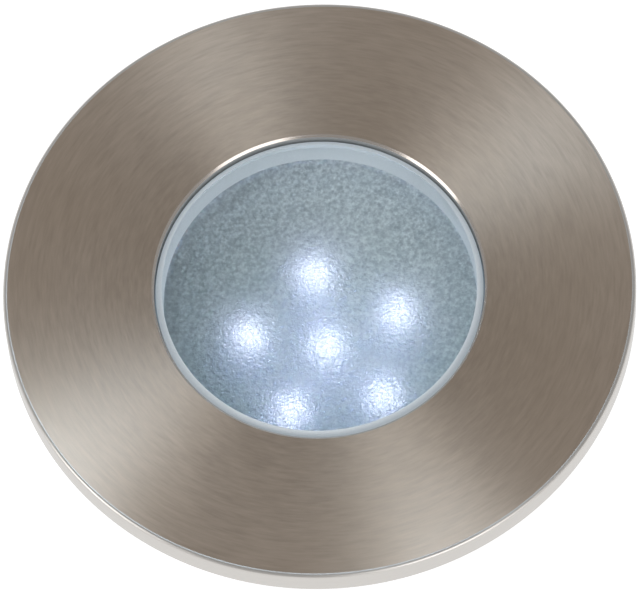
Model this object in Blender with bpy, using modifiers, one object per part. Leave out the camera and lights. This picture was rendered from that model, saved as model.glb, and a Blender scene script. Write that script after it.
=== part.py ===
"""A recessed deck light: a brushed steel bezel with a stepped glass lens, six small lamps on a round
board in a stepped plastic housing, two sprung clips that grip the deck, and a cable gland below.

Metres, +Z up out of the deck. The origin is the centre of the hole in the deck, on the deck's surface."""

import math

import bmesh
import bpy
from mathutils import Matrix, Vector

# Fits
seat_gap = 0.0003
running_gap = 0.0001
thread_gap = 0.00015
lead_gap = 0.00015
overrun = 0.0010
weld_depth = 0.0010

# Bezel, which reaches past the housing's flange to cover the gasket
bezel_overlap = 0.00425
bezel_thickness = 0.0030
bezel_edge_round = 0.0004
bezel_under_chamfer = 0.0002
window_diameter = 0.03138
window_chamfer = 0.00033
lip_thickness = 0.0020
tapped_depth = 0.0020

# Deck gasket
gasket_thickness = 0.0010
gasket_width = 0.0026
gasket_inset = 0.0008

# Lens and its seal
lens_thickness = 0.0050
lens_bevel = 0.0006
lens_drop = 0.0003
lens_side_gap = 0.00029
lens_flange_width = 0.0022
lens_flange_chamfer = 0.0003
seal_leg = 0.0007
seal_wall = 0.0010
seal_lip_inset = 0.0005

# Housing
wall = 0.0018
light_port_inset = 0.0002
ledge_thickness = 0.0016
collar_wall = 0.0016
body_draft = 0.0003
flange_thickness = 0.0027
flange_margin = 0.00025
flange_round = 0.0005
shoulder_thickness = 0.0020
shoulder_round = 0.0008
chamber_clearance = 0.00102
chamber_draft = 0.0002
chamber_wall = 0.0016
chamber_depth = 0.0097
floor_thickness = 0.0022
gland_boss_width = 0.0024
gland_boss_rise = 0.0010
gusset_thickness = 0.0012
gusset_inset = 0.0010
gusset_height = 0.0100
gusset_angles = [30.0, 65.0, 115.0, 150.0, 240.0, 270.0, 300.0]

# Screws through the housing's flange into the bezel
screw_angles = [90.0, 210.0, 330.0]
bezel_screw_diameter = 0.0025
bezel_screw_head = 0.0045
bezel_screw_head_height = 0.0017
screw_hole_gap = 0.0002
screw_clearance = 0.0002

# Lamp board
lamp_tip_depth = 0.0145
lamp_diameter = 0.0050
lamp_height = 0.0086
lamp_flange_diameter = 0.0058
lamp_flange_height = 0.0010
lamp_ring_radius = 0.00765
lamp_ring_phase = 23.1
lamp_ring_count = 5
lead_diameter = 0.0006
lead_pitch = 0.00254
lead_end = 0.0006
board_thickness = 0.0016

# Screws that hold the board
board_screw_stand = 0.00175
board_screw_diameter = 0.0020
board_screw_head = 0.0038
board_screw_head_height = 0.0014
board_screw_length = 0.0060
board_margin = 0.0004
board_boss_diameter = 0.0042
board_boss_floor = 0.0008

# Pieces on the board's underside
stand_off = 0.0010
resistor_length = 0.0062
resistor_diameter = 0.0023
resistor_pitch = 0.0100
resistor_rows = [0.0016, 0.0049]
resistor_lead = 0.0006
rectifier_length = 0.0047
rectifier_width = 0.0038
rectifier_height = 0.0024
rectifier_row = 0.0082
rectifier_leg_pitch = 0.0026
rectifier_leg_width = 0.0006
rectifier_leg_thickness = 0.0003
rectifier_leg_reach = 0.0008
terminal_length = 0.0100
terminal_width = 0.0066
terminal_height = 0.0062
terminal_row = -0.0050
terminal_pitch = 0.0050
terminal_pin = 0.0010
terminal_entry = 0.0022
terminal_entry_depth = 0.0035
terminal_entry_height = 0.0020
terminal_well = 0.0034
terminal_well_depth = 0.0026
terminal_screw_diameter = 0.0028
terminal_screw_height = 0.0014
slot_width = 0.0006
slot_depth = 0.0006

# Cable gland
gland_thread = 0.0120
gland_bore = 0.0072
gland_flats = 0.0150
gland_flange = 0.0035
gland_tail_thread = 0.0112
gland_tail = 0.0060
gland_washer_thickness = 0.0010
gland_washer_width = 0.0017
gland_washer_gap = 0.0003
gland_nut_flats = 0.0140
gland_nut_length = 0.0095
gland_nut_dome = 0.0040
gland_nut_mouth = 0.0074
gland_nut_end = 0.0106
gland_seal_bore = 0.0065
gland_seal_length = 0.0056
gland_seal_taper = 0.0008
gland_throat_wall = 0.0009

# Clips
clip_wall_gap = 0.00115
clip_axis_depth = 0.0180
clip_rest_angle = 50.0
clip_length = 0.0120
clip_steel = 0.0008
clip_cheek_step = 0.00005
clip_bend_radius = 0.0007
clip_bead_start = 0.0020
clip_bead_end = 0.0095
clip_bead_half = 0.0006
clip_bead_rise = 0.0004
clip_bead_steel = 0.0005
coil_side_gap = 0.0005
clip_tip_width = 0.0072
clip_corner = 0.0012
clip_web_start = 0.0004
clip_curl = 0.0009
clip_curl_turn = 75.0
clip_ear_radius = 0.0023
clip_ear_length = 0.0056
clip_ear_end = 0.0012
clip_hook_reach = 0.0070
clip_hook_gap = 0.0003
pin_diameter = 0.0025
pin_head = 0.0040
pin_head_height = 0.0008
pin_tail = 0.0006
pin_washer = 0.0046
pin_washer_thickness = 0.0005
lug_thickness = 0.0014
lug_radius = 0.0026
lug_root_rise = 0.0052
lug_root_fall = 0.0036
lug_embed = 0.0012
stop_thickness = 0.0012
stop_place = 0.0016
stop_heel = 0.0010
stop_toe = 0.0030
stop_rise = 0.0032

# Clip springs
wire = 0.0007
coil_diameter = 0.0040
coil_turns = 5
coil_steps = 10
coil_length = 0.0060
wire_bend = 0.0008
bend_steps = 4
fixed_leg_fall = 0.0024
hook_stand = 0.00045
anchor_size = 0.0024
anchor_depth = 0.0013
anchor_hole_gap = 0.00035
least_coil_gap = 0.0004

# How finely round shapes are cut, and the angle over which an edge stays sharp
fine_steps = 60
ring_steps = 48
small_steps = 24
lamp_steps = 14
dome_steps = 4
round_steps = 3
sharp_angle = math.radians(32.0)
merge_distance = 0.0000001

# Radii and heights that follow
window_radius = window_diameter / 2
bezel_under = gasket_thickness + seat_gap
bezel_face = bezel_under + bezel_thickness
lip_under = bezel_face - lip_thickness

lens_radius = window_radius - lens_side_gap
lens_flange_radius = lens_radius + lens_flange_width
lens_top = bezel_face - lens_drop
lens_bottom = lens_top - lens_thickness
seal_top = lip_under - seat_gap
lens_flange_top = seal_top - seal_leg - seat_gap
seal_lower_leg_top = lens_bottom - seat_gap
seal_bottom = seal_lower_leg_top - seal_leg
seal_inner_radius = lens_radius - seal_lip_inset
seal_radius = lens_flange_radius + seat_gap + seal_wall
mouth_radius = seal_radius + seat_gap

flange_top = bezel_under - seat_gap
flange_under = flange_top - flange_thickness
seat_height = seal_bottom - seat_gap
light_port_radius = lens_radius - light_port_inset
ledge_under = seat_height - ledge_thickness
collar_radius = mouth_radius + collar_wall
screw_radius = collar_radius + screw_clearance + bezel_screw_head / 2
flange_radius = screw_radius + bezel_screw_head / 2 + flange_margin
bezel_radius = flange_radius + bezel_overlap

lamp_tip = bezel_face - lamp_tip_depth
lamp_base = lamp_tip - lamp_height
board_top = lamp_base - seat_gap
board_under = board_top - board_thickness
shoulder_top = board_under - seat_gap
shoulder_under = shoulder_top - shoulder_thickness
board_screw_radius = lamp_ring_radius + (lamp_flange_diameter + board_screw_head) / 2 + board_screw_stand
board_radius = board_screw_radius + board_screw_head / 2 + board_margin
body_inner_radius = board_radius + seat_gap + body_draft
body_radius = body_inner_radius + wall
cone_under = ledge_under - abs(collar_radius - body_radius)
rectifier_end = rectifier_length / 2 + rectifier_leg_reach
rectifier_side = rectifier_row + rectifier_width / 2
chamber_inner_radius = math.hypot(rectifier_end, rectifier_side) + chamber_clearance
chamber_radius = chamber_inner_radius + chamber_wall
chamber_floor_under = shoulder_under - chamber_depth
chamber_floor = chamber_floor_under + floor_thickness

gland_hole_radius = gland_thread / 2 + thread_gap
gland_boss_radius = gland_hole_radius + gland_boss_width
gland_boss_top = chamber_floor + gland_boss_rise
gland_washer_top = chamber_floor_under - seat_gap
gland_flange_top = gland_washer_top - gland_washer_thickness - seat_gap
gland_flange_under = gland_flange_top - gland_flange
gland_tail_end = gland_flange_under - gland_tail
gland_nut_top = gland_flange_under - seat_gap
gland_nut_bottom = gland_nut_top - gland_nut_length
gland_seal_top = gland_tail_end + gland_seal_length / 2

terminal_low = board_under - stand_off - terminal_height

coil_radius = coil_diameter / 2
coil_outside = coil_radius + wire / 2
clip_axis_reach = body_radius + clip_wall_gap + coil_outside
anchor_face = -coil_outside - seat_gap
web_inner = coil_outside + seat_gap
web_outer = web_inner + clip_steel
pin_radius = pin_diameter / 2
ear_inside = (coil_length + wire) / 2 + coil_side_gap
ear_outside = ear_inside + clip_steel
clip_half_width = ear_outside + clip_cheek_step
lug_inside = clip_half_width + seat_gap
lug_outside = lug_inside + lug_thickness


# Materials: name, colour, roughness, metallic
finishes = {
    "brushed_steel": ((0.55, 0.52, 0.49), 0.30, 1.0),
    "plain_steel": ((0.60, 0.60, 0.60), 0.35, 1.0),
    "spring_steel": ((0.48, 0.49, 0.50), 0.28, 1.0),
    "glass": ((0.72, 0.82, 0.84), 0.10, 0.0),
    "pale_silicone": ((0.76, 0.81, 0.82), 0.55, 0.0),
    "black_nylon": ((0.025, 0.025, 0.027), 0.50, 0.0),
    "foam_rubber": ((0.03, 0.03, 0.03), 0.90, 0.0),
    "black_rubber": ((0.02, 0.02, 0.02), 0.75, 0.0),
    "lamp_epoxy": ((0.90, 0.93, 1.00), 0.08, 0.0),
    "board_green": ((0.02, 0.16, 0.07), 0.40, 0.0),
    "resistor_blue": ((0.20, 0.45, 0.62), 0.40, 0.0),
    "black_epoxy": ((0.03, 0.03, 0.03), 0.55, 0.0),
    "terminal_green": ((0.04, 0.35, 0.12), 0.45, 0.0),
    "brass": ((0.78, 0.60, 0.28), 0.30, 1.0),
}


def clear_scene():
    for obj in list(bpy.data.objects):
        bpy.data.objects.remove(obj, do_unlink=True)


def collection_named(name):
    group = bpy.data.collections.new(name)
    bpy.context.scene.collection.children.link(group)
    return group


def material_named(name):
    made = bpy.data.materials.get(name)
    if made:
        return made
    colour, roughness, metallic = finishes[name]
    made = bpy.data.materials.new(name)
    made.use_nodes = True
    shader = made.node_tree.nodes["Principled BSDF"]
    shader.inputs["Base Color"].default_value = (*colour, 1.0)
    shader.inputs["Roughness"].default_value = roughness
    shader.inputs["Metallic"].default_value = metallic
    made.diffuse_color = (*colour, 1.0)
    return made


clear_scene()
parts = collection_named("recessed_deck_light")
cutters = collection_named("cutters")


def on_circle(radius, degrees, height=0.0):
    angle = math.radians(degrees)
    return Vector((radius * math.cos(angle), radius * math.sin(angle), height))


def arc(centre, radius, start, end, steps):
    """Points along an arc in a plane, from one angle in degrees to another."""
    points = []
    for step in range(steps + 1):
        angle = math.radians(start + (end - start) * step / steps)
        points.append((centre[0] + radius * math.cos(angle), centre[1] + radius * math.sin(angle)))
    return points


def new_object(name, data, group=parts):
    obj = bpy.data.objects.new(name, data)
    group.objects.link(obj)
    return obj


def evaluated_mesh(obj):
    bpy.context.view_layer.update()
    graph = bpy.context.evaluated_depsgraph_get()
    return bpy.data.meshes.new_from_object(obj.evaluated_get(graph))


def closed_mesh(mesh):
    """Welds coincident points and turns every face outwards."""
    shape = bmesh.new()
    shape.from_mesh(mesh)
    bmesh.ops.remove_doubles(shape, verts=shape.verts, dist=merge_distance)
    bmesh.ops.recalc_face_normals(shape, faces=shape.faces)
    shape.to_mesh(mesh)
    shape.free()
    return mesh


def settle(obj, finish):
    """Turns the object and its modifiers into one finished mesh with its material."""
    mesh = evaluated_mesh(obj)
    mesh.name = obj.name
    obj.modifiers.clear()
    obj.data = closed_mesh(mesh)
    obj.data.shade_smooth()
    obj.data.set_sharp_from_angle(angle=sharp_angle)
    obj.data.materials.clear()
    obj.data.materials.append(material_named(finish))
    return obj


def turned(name, profile, steps, group=parts, ring=False):
    """A profile of (radius, height) points, read down its outer side, turned about Z."""
    mesh = bpy.data.meshes.new(name)
    points = [(radius, 0.0, height) for radius, height in profile]
    edges = [(index, index + 1) for index in range(len(points) - 1)]
    if ring:
        edges.append((len(points) - 1, 0))
    mesh.from_pydata(points, edges, [])
    obj = new_object(name, mesh, group)
    screw = obj.modifiers.new("turn", "SCREW")
    screw.axis = "Z"
    screw.angle = math.tau
    screw.steps = steps
    screw.render_steps = steps
    screw.use_merge_vertices = True
    screw.merge_threshold = merge_distance
    return obj


def moved(obj, place=(0.0, 0.0, 0.0), turn=None):
    """Writes a place and a turn into the object's mesh, so that its origin stays at the centre."""
    matrix = Matrix.Translation(place)
    if turn is not None:
        matrix = matrix @ turn
    obj.data.transform(matrix)
    return obj


def as_cutter(obj):
    obj.hide_render = True
    obj.display_type = "WIRE"
    return obj


def rod(name, radius, low, high, steps, place=(0.0, 0.0, 0.0), turn=None):
    """A plain round tool along its own Z, from one height to another."""
    mesh = bpy.data.meshes.new(name)
    shape = bmesh.new()
    bmesh.ops.create_cone(
        shape,
        cap_ends=True,
        segments=steps,
        radius1=radius,
        radius2=radius,
        depth=high - low,
        matrix=Matrix.Translation((0.0, 0.0, (low + high) / 2)),
    )
    shape.to_mesh(mesh)
    shape.free()
    return as_cutter(moved(new_object(name, mesh, cutters), place, turn))


def block(name, low, high, place=(0.0, 0.0, 0.0), turn=None):
    """A box tool between two corners."""
    mesh = bpy.data.meshes.new(name)
    size = [high[axis] - low[axis] for axis in range(3)]
    middle = [(high[axis] + low[axis]) / 2 for axis in range(3)]
    shape = bmesh.new()
    matrix = Matrix.Translation(middle) @ Matrix.Diagonal((*size, 1.0))
    bmesh.ops.create_cube(shape, size=1.0, matrix=matrix)
    shape.to_mesh(mesh)
    shape.free()
    return as_cutter(moved(new_object(name, mesh, cutters), place, turn))


upright = Matrix.Rotation(math.pi / 2, 4, "X")


def plate(name, outline, low, high, holes=(), turn=None, place=(0.0, 0.0, 0.0)):
    """A flat outline, with any holes, given a thickness along its own Z from low to high."""
    curve = bpy.data.curves.new(name, "CURVE")
    curve.dimensions = "2D"
    curve.fill_mode = "BOTH"
    curve.extrude = (high - low) / 2
    for loop in (outline, *holes):
        spline = curve.splines.new("POLY")
        spline.points.add(len(loop) - 1)
        for point, (across, up) in zip(spline.points, loop):
            point.co = (across, up, 0.0, 1.0)
        spline.use_cyclic_u = True
    flat = new_object(name, curve, cutters)
    mesh = closed_mesh(evaluated_mesh(flat))
    bpy.data.objects.remove(flat, do_unlink=True)
    obj = new_object(name, mesh, cutters)
    moved(obj, (0.0, 0.0, (low + high) / 2))
    return as_cutter(moved(obj, place, turn))


def combine(obj, tool, operation):
    step = obj.modifiers.new(tool.name, "BOOLEAN")
    step.operation = operation
    step.solver = "EXACT"
    step.object = tool


def join(obj, *tools):
    for tool in tools:
        combine(obj, tool, "UNION")


def cut(obj, *tools):
    for tool in tools:
        combine(obj, tool, "DIFFERENCE")


def as_part(tool, name):
    """Makes a tool shape the start of a part."""
    tool.name = name
    cutters.objects.unlink(tool)
    parts.objects.link(tool)
    tool.hide_render = False
    tool.display_type = "TEXTURED"
    return tool


def turn_z(degrees):
    return Matrix.Rotation(math.radians(degrees), 4, "Z")


# Bezel


def make_bezel():
    edge_centre = (bezel_radius - bezel_edge_round, bezel_face - bezel_edge_round)
    profile = [
        (window_radius, bezel_face - window_chamfer),
        (window_radius + window_chamfer, bezel_face),
        *arc(edge_centre, bezel_edge_round, 90.0, 0.0, round_steps),
        (bezel_radius, bezel_under + bezel_under_chamfer),
        (bezel_radius - bezel_under_chamfer, bezel_under),
        (mouth_radius, bezel_under),
        (mouth_radius, lip_under),
        (window_radius, lip_under),
    ]
    bezel = turned("bezel", profile, fine_steps, ring=True)
    hole = bezel_screw_diameter / 2 + thread_gap
    for number, degrees in enumerate(screw_angles):
        place = on_circle(screw_radius, degrees)
        top = bezel_under + tapped_depth
        cut(bezel, rod(f"tapped_hole_{number}", hole, bezel_under - overrun, top, small_steps, place))
    return settle(bezel, "brushed_steel")


def make_gasket():
    outer = bezel_radius - gasket_inset
    inner = outer - gasket_width
    profile = [(outer, gasket_thickness), (outer, 0.0), (inner, 0.0), (inner, gasket_thickness)]
    return settle(turned("deck_gasket", profile, ring_steps, ring=True), "foam_rubber")


# Lens and its seal


def make_lens():
    rim = lens_flange_radius
    profile = [
        (0.0, lens_top),
        (lens_radius - lens_bevel, lens_top),
        (lens_radius, lens_top - lens_bevel),
        (lens_radius, lens_flange_top),
        (rim - lens_flange_chamfer, lens_flange_top),
        (rim, lens_flange_top - lens_flange_chamfer),
        (rim, lens_bottom + lens_flange_chamfer),
        (rim - lens_flange_chamfer, lens_bottom),
        (0.0, lens_bottom),
    ]
    return settle(turned("lens", profile, fine_steps), "glass")


def make_lens_seal():
    """A U-section ring that wraps the lens's flange."""
    groove = lens_flange_radius + seat_gap
    upper_inner = lens_radius + seat_gap
    profile = [
        (upper_inner, seal_top),
        (seal_radius, seal_top),
        (seal_radius, seal_bottom),
        (seal_inner_radius, seal_bottom),
        (seal_inner_radius, seal_lower_leg_top),
        (groove, seal_lower_leg_top),
        (groove, seal_top - seal_leg),
        (upper_inner, seal_top - seal_leg),
    ]
    return settle(turned("lens_seal", profile, ring_steps, ring=True), "pale_silicone")


# Housing


def body_radius_at(height):
    """The body's outer radius, which narrows by its draft on the way down."""
    share = (cone_under - height) / (cone_under - shoulder_under)
    return body_radius - body_draft * share


def housing_shell():
    inner_top = ledge_under - (body_inner_radius - light_port_radius)
    flange_edge = flange_radius - flange_round
    shoulder_edge = (body_radius - body_draft - shoulder_round, shoulder_under + shoulder_round)
    chamber_edge = (chamber_radius - chamber_draft - shoulder_round, chamber_floor_under + shoulder_round)
    outer = [
        (mouth_radius, flange_top),
        *arc((flange_edge, flange_top - flange_round), flange_round, 90.0, 0.0, round_steps),
        *arc((flange_edge, flange_under + flange_round), flange_round, 0.0, -90.0, round_steps),
        (collar_radius, flange_under),
        (collar_radius, ledge_under),
        (body_radius, cone_under),
        *arc(shoulder_edge, shoulder_round, 0.0, -90.0, round_steps),
        (chamber_radius, shoulder_under),
        *arc(chamber_edge, shoulder_round, 0.0, -90.0, round_steps),
        (gland_hole_radius, chamber_floor_under),
    ]
    inner = [
        (gland_hole_radius, gland_boss_top),
        (gland_boss_radius, gland_boss_top),
        (gland_boss_radius, chamber_floor),
        (chamber_inner_radius - chamber_draft, chamber_floor),
        (chamber_inner_radius, shoulder_top),
        (body_inner_radius - body_draft, shoulder_top),
        (body_inner_radius, inner_top),
        (light_port_radius, ledge_under),
        (light_port_radius, seat_height),
        (mouth_radius, seat_height),
    ]
    return turned("housing", outer + inner, ring_steps, ring=True)


def make_gusset(degrees):
    """A radial rib that props the flange against the body."""
    root = body_radius - weld_depth
    outline = [
        (collar_radius - collar_wall / 2, flange_under + weld_depth),
        (flange_radius - gusset_inset, flange_under + weld_depth),
        (flange_radius - gusset_inset, flange_under - gusset_thickness),
        (body_radius, flange_under - gusset_height),
        (root, flange_under - gusset_height),
        (root, cone_under),
    ]
    half = gusset_thickness / 2
    return plate(f"gusset_{round(degrees)}", outline, -half, half, turn=turn_z(degrees) @ upright)


def pin_to_body():
    """Where the body's wall lies, counted from the clip's pin."""
    return body_radius_at(-clip_axis_depth) - clip_axis_reach


def pin_bore():
    """The outline of the hole that the clip's pin passes through."""
    return arc((0.0, 0.0), pin_radius + running_gap, 0.0, 360.0 - 360.0 / small_steps, small_steps - 1)


def make_lug(side, near):
    """One ear of the pair that carries a clip's pin, on the side given in degrees."""
    root = pin_to_body() - lug_embed
    outline = [
        (root, lug_root_rise),
        *arc((0.0, 0.0), lug_radius, 70.0, -80.0, small_steps // 2),
        (root, -lug_root_fall),
    ]
    low, high = (lug_inside, lug_outside) if near else (-lug_outside, -lug_inside)
    turn = turn_z(side) @ Matrix.Translation((clip_axis_reach, 0.0, -clip_axis_depth)) @ upright
    return plate(f"lug_{round(side)}_{near}", outline, low, high, holes=[pin_bore()], turn=turn)


def make_stop(side, near):
    """A small ramp on the body that the clip's web rests on when it stands up."""
    rest = math.radians(clip_rest_angle)
    along = Vector((math.cos(rest), math.sin(rest)))
    away = Vector((-math.sin(rest), math.cos(rest)))
    face = (web_outer + seat_gap) * away
    heel = face - stop_heel * along
    toe = face + stop_toe * along
    root = pin_to_body() - weld_depth
    outline = [(root, heel.y - stop_heel), (heel.x, heel.y), (toe.x, toe.y), (root, toe.y + stop_rise)]
    half = stop_thickness / 2
    middle = stop_place if near else -stop_place
    turn = turn_z(side) @ Matrix.Translation((clip_axis_reach, 0.0, -clip_axis_depth)) @ upright
    return plate(f"stop_{round(side)}_{near}", outline, middle - half, middle + half, turn=turn)


def make_anchor(side):
    """A pad with a blind hole for the end of the spring's fixed leg."""
    half = anchor_size / 2
    turn = turn_z(side) @ Matrix.Translation((clip_axis_reach, 0.0, -clip_axis_depth))
    low = (pin_to_body() - weld_depth, -coil_length / 2 - half, -fixed_leg_fall - half)
    high = (anchor_face, -coil_length / 2 + half, -fixed_leg_fall + half)
    return block(f"anchor_{round(side)}", low, high, turn=turn)


def make_anchor_hole(side):
    lying = Matrix.Rotation(math.pi / 2, 4, "Y")
    place = (clip_axis_reach, -coil_length / 2, -clip_axis_depth - fixed_leg_fall)
    turn = turn_z(side) @ Matrix.Translation(place) @ lying
    radius = wire / 2 + anchor_hole_gap
    low, high = anchor_face - anchor_depth, anchor_face + overrun
    return rod(f"anchor_hole_{round(side)}", radius, low, high, small_steps // 2, turn=turn)


def make_board_boss(degrees):
    low = shoulder_top - board_screw_length - board_boss_floor
    high = shoulder_under + weld_depth
    place = on_circle(board_screw_radius, degrees)
    return rod(f"board_boss_{round(degrees)}", board_boss_diameter / 2, low, high, small_steps, place)


def make_housing():
    housing = housing_shell()
    for degrees in gusset_angles:
        join(housing, make_gusset(degrees))
    for degrees in screw_angles:
        join(housing, make_board_boss(degrees))
    for side in (0.0, 180.0):
        for near in (False, True):
            join(housing, make_lug(side, near), make_stop(side, near))
        join(housing, make_anchor(side))
        cut(housing, make_anchor_hole(side))
    flange_hole = bezel_screw_diameter / 2 + screw_hole_gap
    board_hole = board_screw_diameter / 2 + thread_gap
    for number, degrees in enumerate(screw_angles):
        place = on_circle(screw_radius, degrees)
        low, high = flange_under - overrun, flange_top + overrun
        cut(housing, rod(f"flange_hole_{number}", flange_hole, low, high, small_steps, place))
        place = on_circle(board_screw_radius, degrees)
        low, high = shoulder_top - board_screw_length, shoulder_top + overrun
        cut(housing, rod(f"board_hole_{number}", board_hole, low, high, small_steps // 2, place))
    return settle(housing, "black_nylon")


# Screws


def hex_outline(flats):
    """A hexagon's corners from its size across flats."""
    corner = flats / 2 / math.cos(math.pi / 6)
    return arc((0.0, 0.0), corner, 0.0, 300.0, 5)


def make_bezel_screw(number, degrees):
    """A pan-head screw, head down, with a hexagon socket."""
    head_top = flange_under - seat_gap
    head_low = head_top - bezel_screw_head_height
    head = bezel_screw_head / 2
    crown = bezel_screw_head_height / 3
    shank_top = bezel_under + tapped_depth - seat_gap
    shank = bezel_screw_diameter / 2
    profile = [
        (0.0, shank_top),
        (shank - thread_gap, shank_top),
        (shank, shank_top - thread_gap),
        (shank, head_top),
        (head, head_top),
        (head, head_low + crown),
        (head - crown, head_low),
        (0.0, head_low),
    ]
    screw = turned(f"bezel_screw_{number}", profile, small_steps)
    socket = hex_outline(bezel_screw_diameter * 3 / 5)
    socket_top = head_low + bezel_screw_head_height / 2
    cut(screw, plate(f"bezel_socket_{number}", socket, head_low - overrun, socket_top))
    settle(screw, "plain_steel")
    return moved(screw, on_circle(screw_radius, degrees))


def make_board_screw(number, degrees):
    """A pan-head screw through the board into the shoulder, with a slot."""
    under = board_top + seat_gap
    top = under + board_screw_head_height
    head = board_screw_head / 2
    crown = board_screw_head_height / 3
    shank = board_screw_diameter / 2
    end = shoulder_top - board_screw_length + seat_gap
    profile = [
        (0.0, top),
        (head - crown, top),
        (head, top - crown),
        (head, under),
        (shank, under),
        (shank, end + shank),
        (0.0, end),
    ]
    screw = turned(f"board_screw_{number}", profile, small_steps)
    low = (-head - overrun, -slot_width / 2, top - slot_depth)
    high = (head + overrun, slot_width / 2, top + overrun)
    cut(screw, block(f"board_slot_{number}", low, high))
    settle(screw, "plain_steel")
    return moved(screw, on_circle(board_screw_radius, degrees))


# Lamp board and lamps


def lamp_places():
    """The name, the centre and the direction of the leads of each lamp."""
    places = [("led_centre", Vector((0.0, 0.0, 0.0)), 0.0)]
    for number in range(lamp_ring_count):
        degrees = lamp_ring_phase + 360.0 / lamp_ring_count * number
        places.append((f"led_ring_{number + 1}", on_circle(lamp_ring_radius, degrees), degrees + 90.0))
    return places


def lead_places(centre, degrees):
    offset = on_circle(lead_pitch / 2, degrees)
    return [centre + offset, centre - offset]


def make_board():
    profile = [(0.0, board_top), (board_radius, board_top), (board_radius, board_under), (0.0, board_under)]
    board = turned("led_board", profile, ring_steps)
    low, high = board_under - overrun, board_top + overrun
    hole = lead_diameter / 2 + lead_gap
    for name, centre, degrees in lamp_places():
        for number, place in enumerate(lead_places(centre, degrees)):
            cut(board, rod(f"{name}_hole_{number}", hole, low, high, small_steps // 3, place))
    for row_number, row in enumerate(resistor_rows):
        for sign in (-1, 1):
            place = (sign * resistor_pitch / 2, row, 0.0)
            cut(board, rod(f"resistor_hole_{row_number}_{sign}", hole, low, high, small_steps // 3, place))
    pin_hole = terminal_pin / 2 + lead_gap
    for sign in (-1, 1):
        place = (sign * terminal_pitch / 2, terminal_row, 0.0)
        cut(board, rod(f"terminal_hole_{sign}", pin_hole, low, high, small_steps // 3, place))
    screw_hole = board_screw_diameter / 2 + screw_hole_gap
    for number, degrees in enumerate(screw_angles):
        place = on_circle(board_screw_radius, degrees)
        cut(board, rod(f"board_screw_hole_{number}", screw_hole, low, high, small_steps // 2, place))
    return settle(board, "board_green")


def make_lamp(name, centre, degrees):
    """A round-nosed lamp with a flange and two leads through the board."""
    radius = lamp_diameter / 2
    flange = lamp_flange_diameter / 2
    dome = arc((0.0, lamp_tip - radius), radius, 90.0, 0.0, dome_steps)
    profile = [
        (0.0, lamp_tip),
        *dome[1:],
        (radius, lamp_base + lamp_flange_height),
        (flange, lamp_base + lamp_flange_height),
        (flange, lamp_base),
        (0.0, lamp_base),
    ]
    lamp = turned(name, profile, lamp_steps)
    low, high = board_under - lead_end, lamp_base + weld_depth
    for number, place in enumerate(lead_places(Vector((0.0, 0.0, 0.0)), degrees)):
        join(lamp, rod(f"{name}_lead_{number}", lead_diameter / 2, low, high, small_steps // 4, place))
    settle(lamp, "lamp_epoxy")
    return moved(lamp, centre)


# Pieces on the board's underside


def make_resistor(number, row):
    """A barrel with two wire leads that rise into the board."""
    half = resistor_length / 2
    bulb = resistor_diameter / 2
    waist = bulb - resistor_lead / 2
    height = board_under - stand_off - bulb
    profile = [
        (0.0, half),
        (waist, half),
        (bulb, half - resistor_lead),
        (bulb, half - resistor_lead * 3),
        (waist, half - resistor_lead * 4),
        (waist, -half + resistor_lead * 4),
        (bulb, -half + resistor_lead * 3),
        (bulb, -half + resistor_lead),
        (waist, -half),
        (0.0, -half),
    ]
    lying = Matrix.Rotation(math.pi / 2, 4, "Y")
    barrel = turned(f"resistor_{number}", profile, lamp_steps)
    settle(barrel, "resistor_blue")
    moved(barrel, (0.0, row, height), lying)
    lead = resistor_lead / 2
    reach = resistor_pitch / 2
    for sign in (-1, 1):
        sides = small_steps // 4
        ends = sorted((sign * (half - weld_depth), sign * (reach + lead)))
        across = rod(f"resistor_across_{number}_{sign}", lead, *ends, sides, (0.0, row, height), lying)
        low, high = height - lead, board_under + board_thickness / 2
        up = rod(f"resistor_up_{number}_{sign}", lead, low, high, sides, (sign * reach, row, 0.0))
        join(barrel, across, up)
    return settle(barrel, "resistor_blue")


def make_rectifier():
    """A small moulded bridge with four flat legs under the board."""
    top = board_under - stand_off
    low = top - rectifier_height
    body = as_part(
        block(
            "rectifier",
            (-rectifier_length / 2, rectifier_row - rectifier_width / 2, low),
            (rectifier_length / 2, rectifier_row + rectifier_width / 2, top),
        ),
        "bridge_rectifier",
    )
    middle = (top + low) / 2
    for side in (-1, 1):
        for row in (-1, 1):
            place = rectifier_row + row * rectifier_leg_pitch / 2
            half = rectifier_leg_width / 2
            arm = sorted((side * (rectifier_length / 2 - weld_depth), side * rectifier_end))
            foot = sorted((side * (rectifier_end - rectifier_leg_thickness), side * rectifier_end))
            thick = rectifier_leg_thickness / 2
            join(
                body,
                block(
                    f"rectifier_arm_{side}_{row}",
                    (arm[0], place - half, middle - thick),
                    (arm[1], place + half, middle + thick),
                ),
                block(
                    f"rectifier_foot_{side}_{row}",
                    (foot[0], place - half, middle - thick),
                    (foot[1], place + half, board_under - seat_gap),
                ),
            )
    return settle(body, "black_epoxy")


def make_terminal_block():
    """A two-way block under the board, with its entries to the middle and its screws facing down."""
    top = board_under - stand_off
    low = terminal_low
    sides = small_steps // 2
    half = terminal_length / 2
    near = terminal_row - terminal_width / 2
    far = terminal_row + terminal_width / 2
    body = as_part(block("terminal_body", (-half, near, low), (half, far, top)), "terminal_block")
    for sign in (-1, 1):
        place = (sign * terminal_pitch / 2, terminal_row, 0.0)
        pin_top = board_under + board_thickness / 2
        well_top = low + terminal_well_depth
        entry = (sign * terminal_pitch / 2, far, top - terminal_entry_height)
        join(body, rod(f"terminal_pin_{sign}", terminal_pin / 2, top - weld_depth, pin_top, sides, place))
        cut(body, rod(f"terminal_well_{sign}", terminal_well / 2, low - overrun, well_top, sides, place))
        mouth, end = -overrun, terminal_entry_depth
        cut(body, rod(f"terminal_entry_{sign}", terminal_entry / 2, mouth, end, sides, entry, upright))
    return settle(body, "terminal_green")


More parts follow.
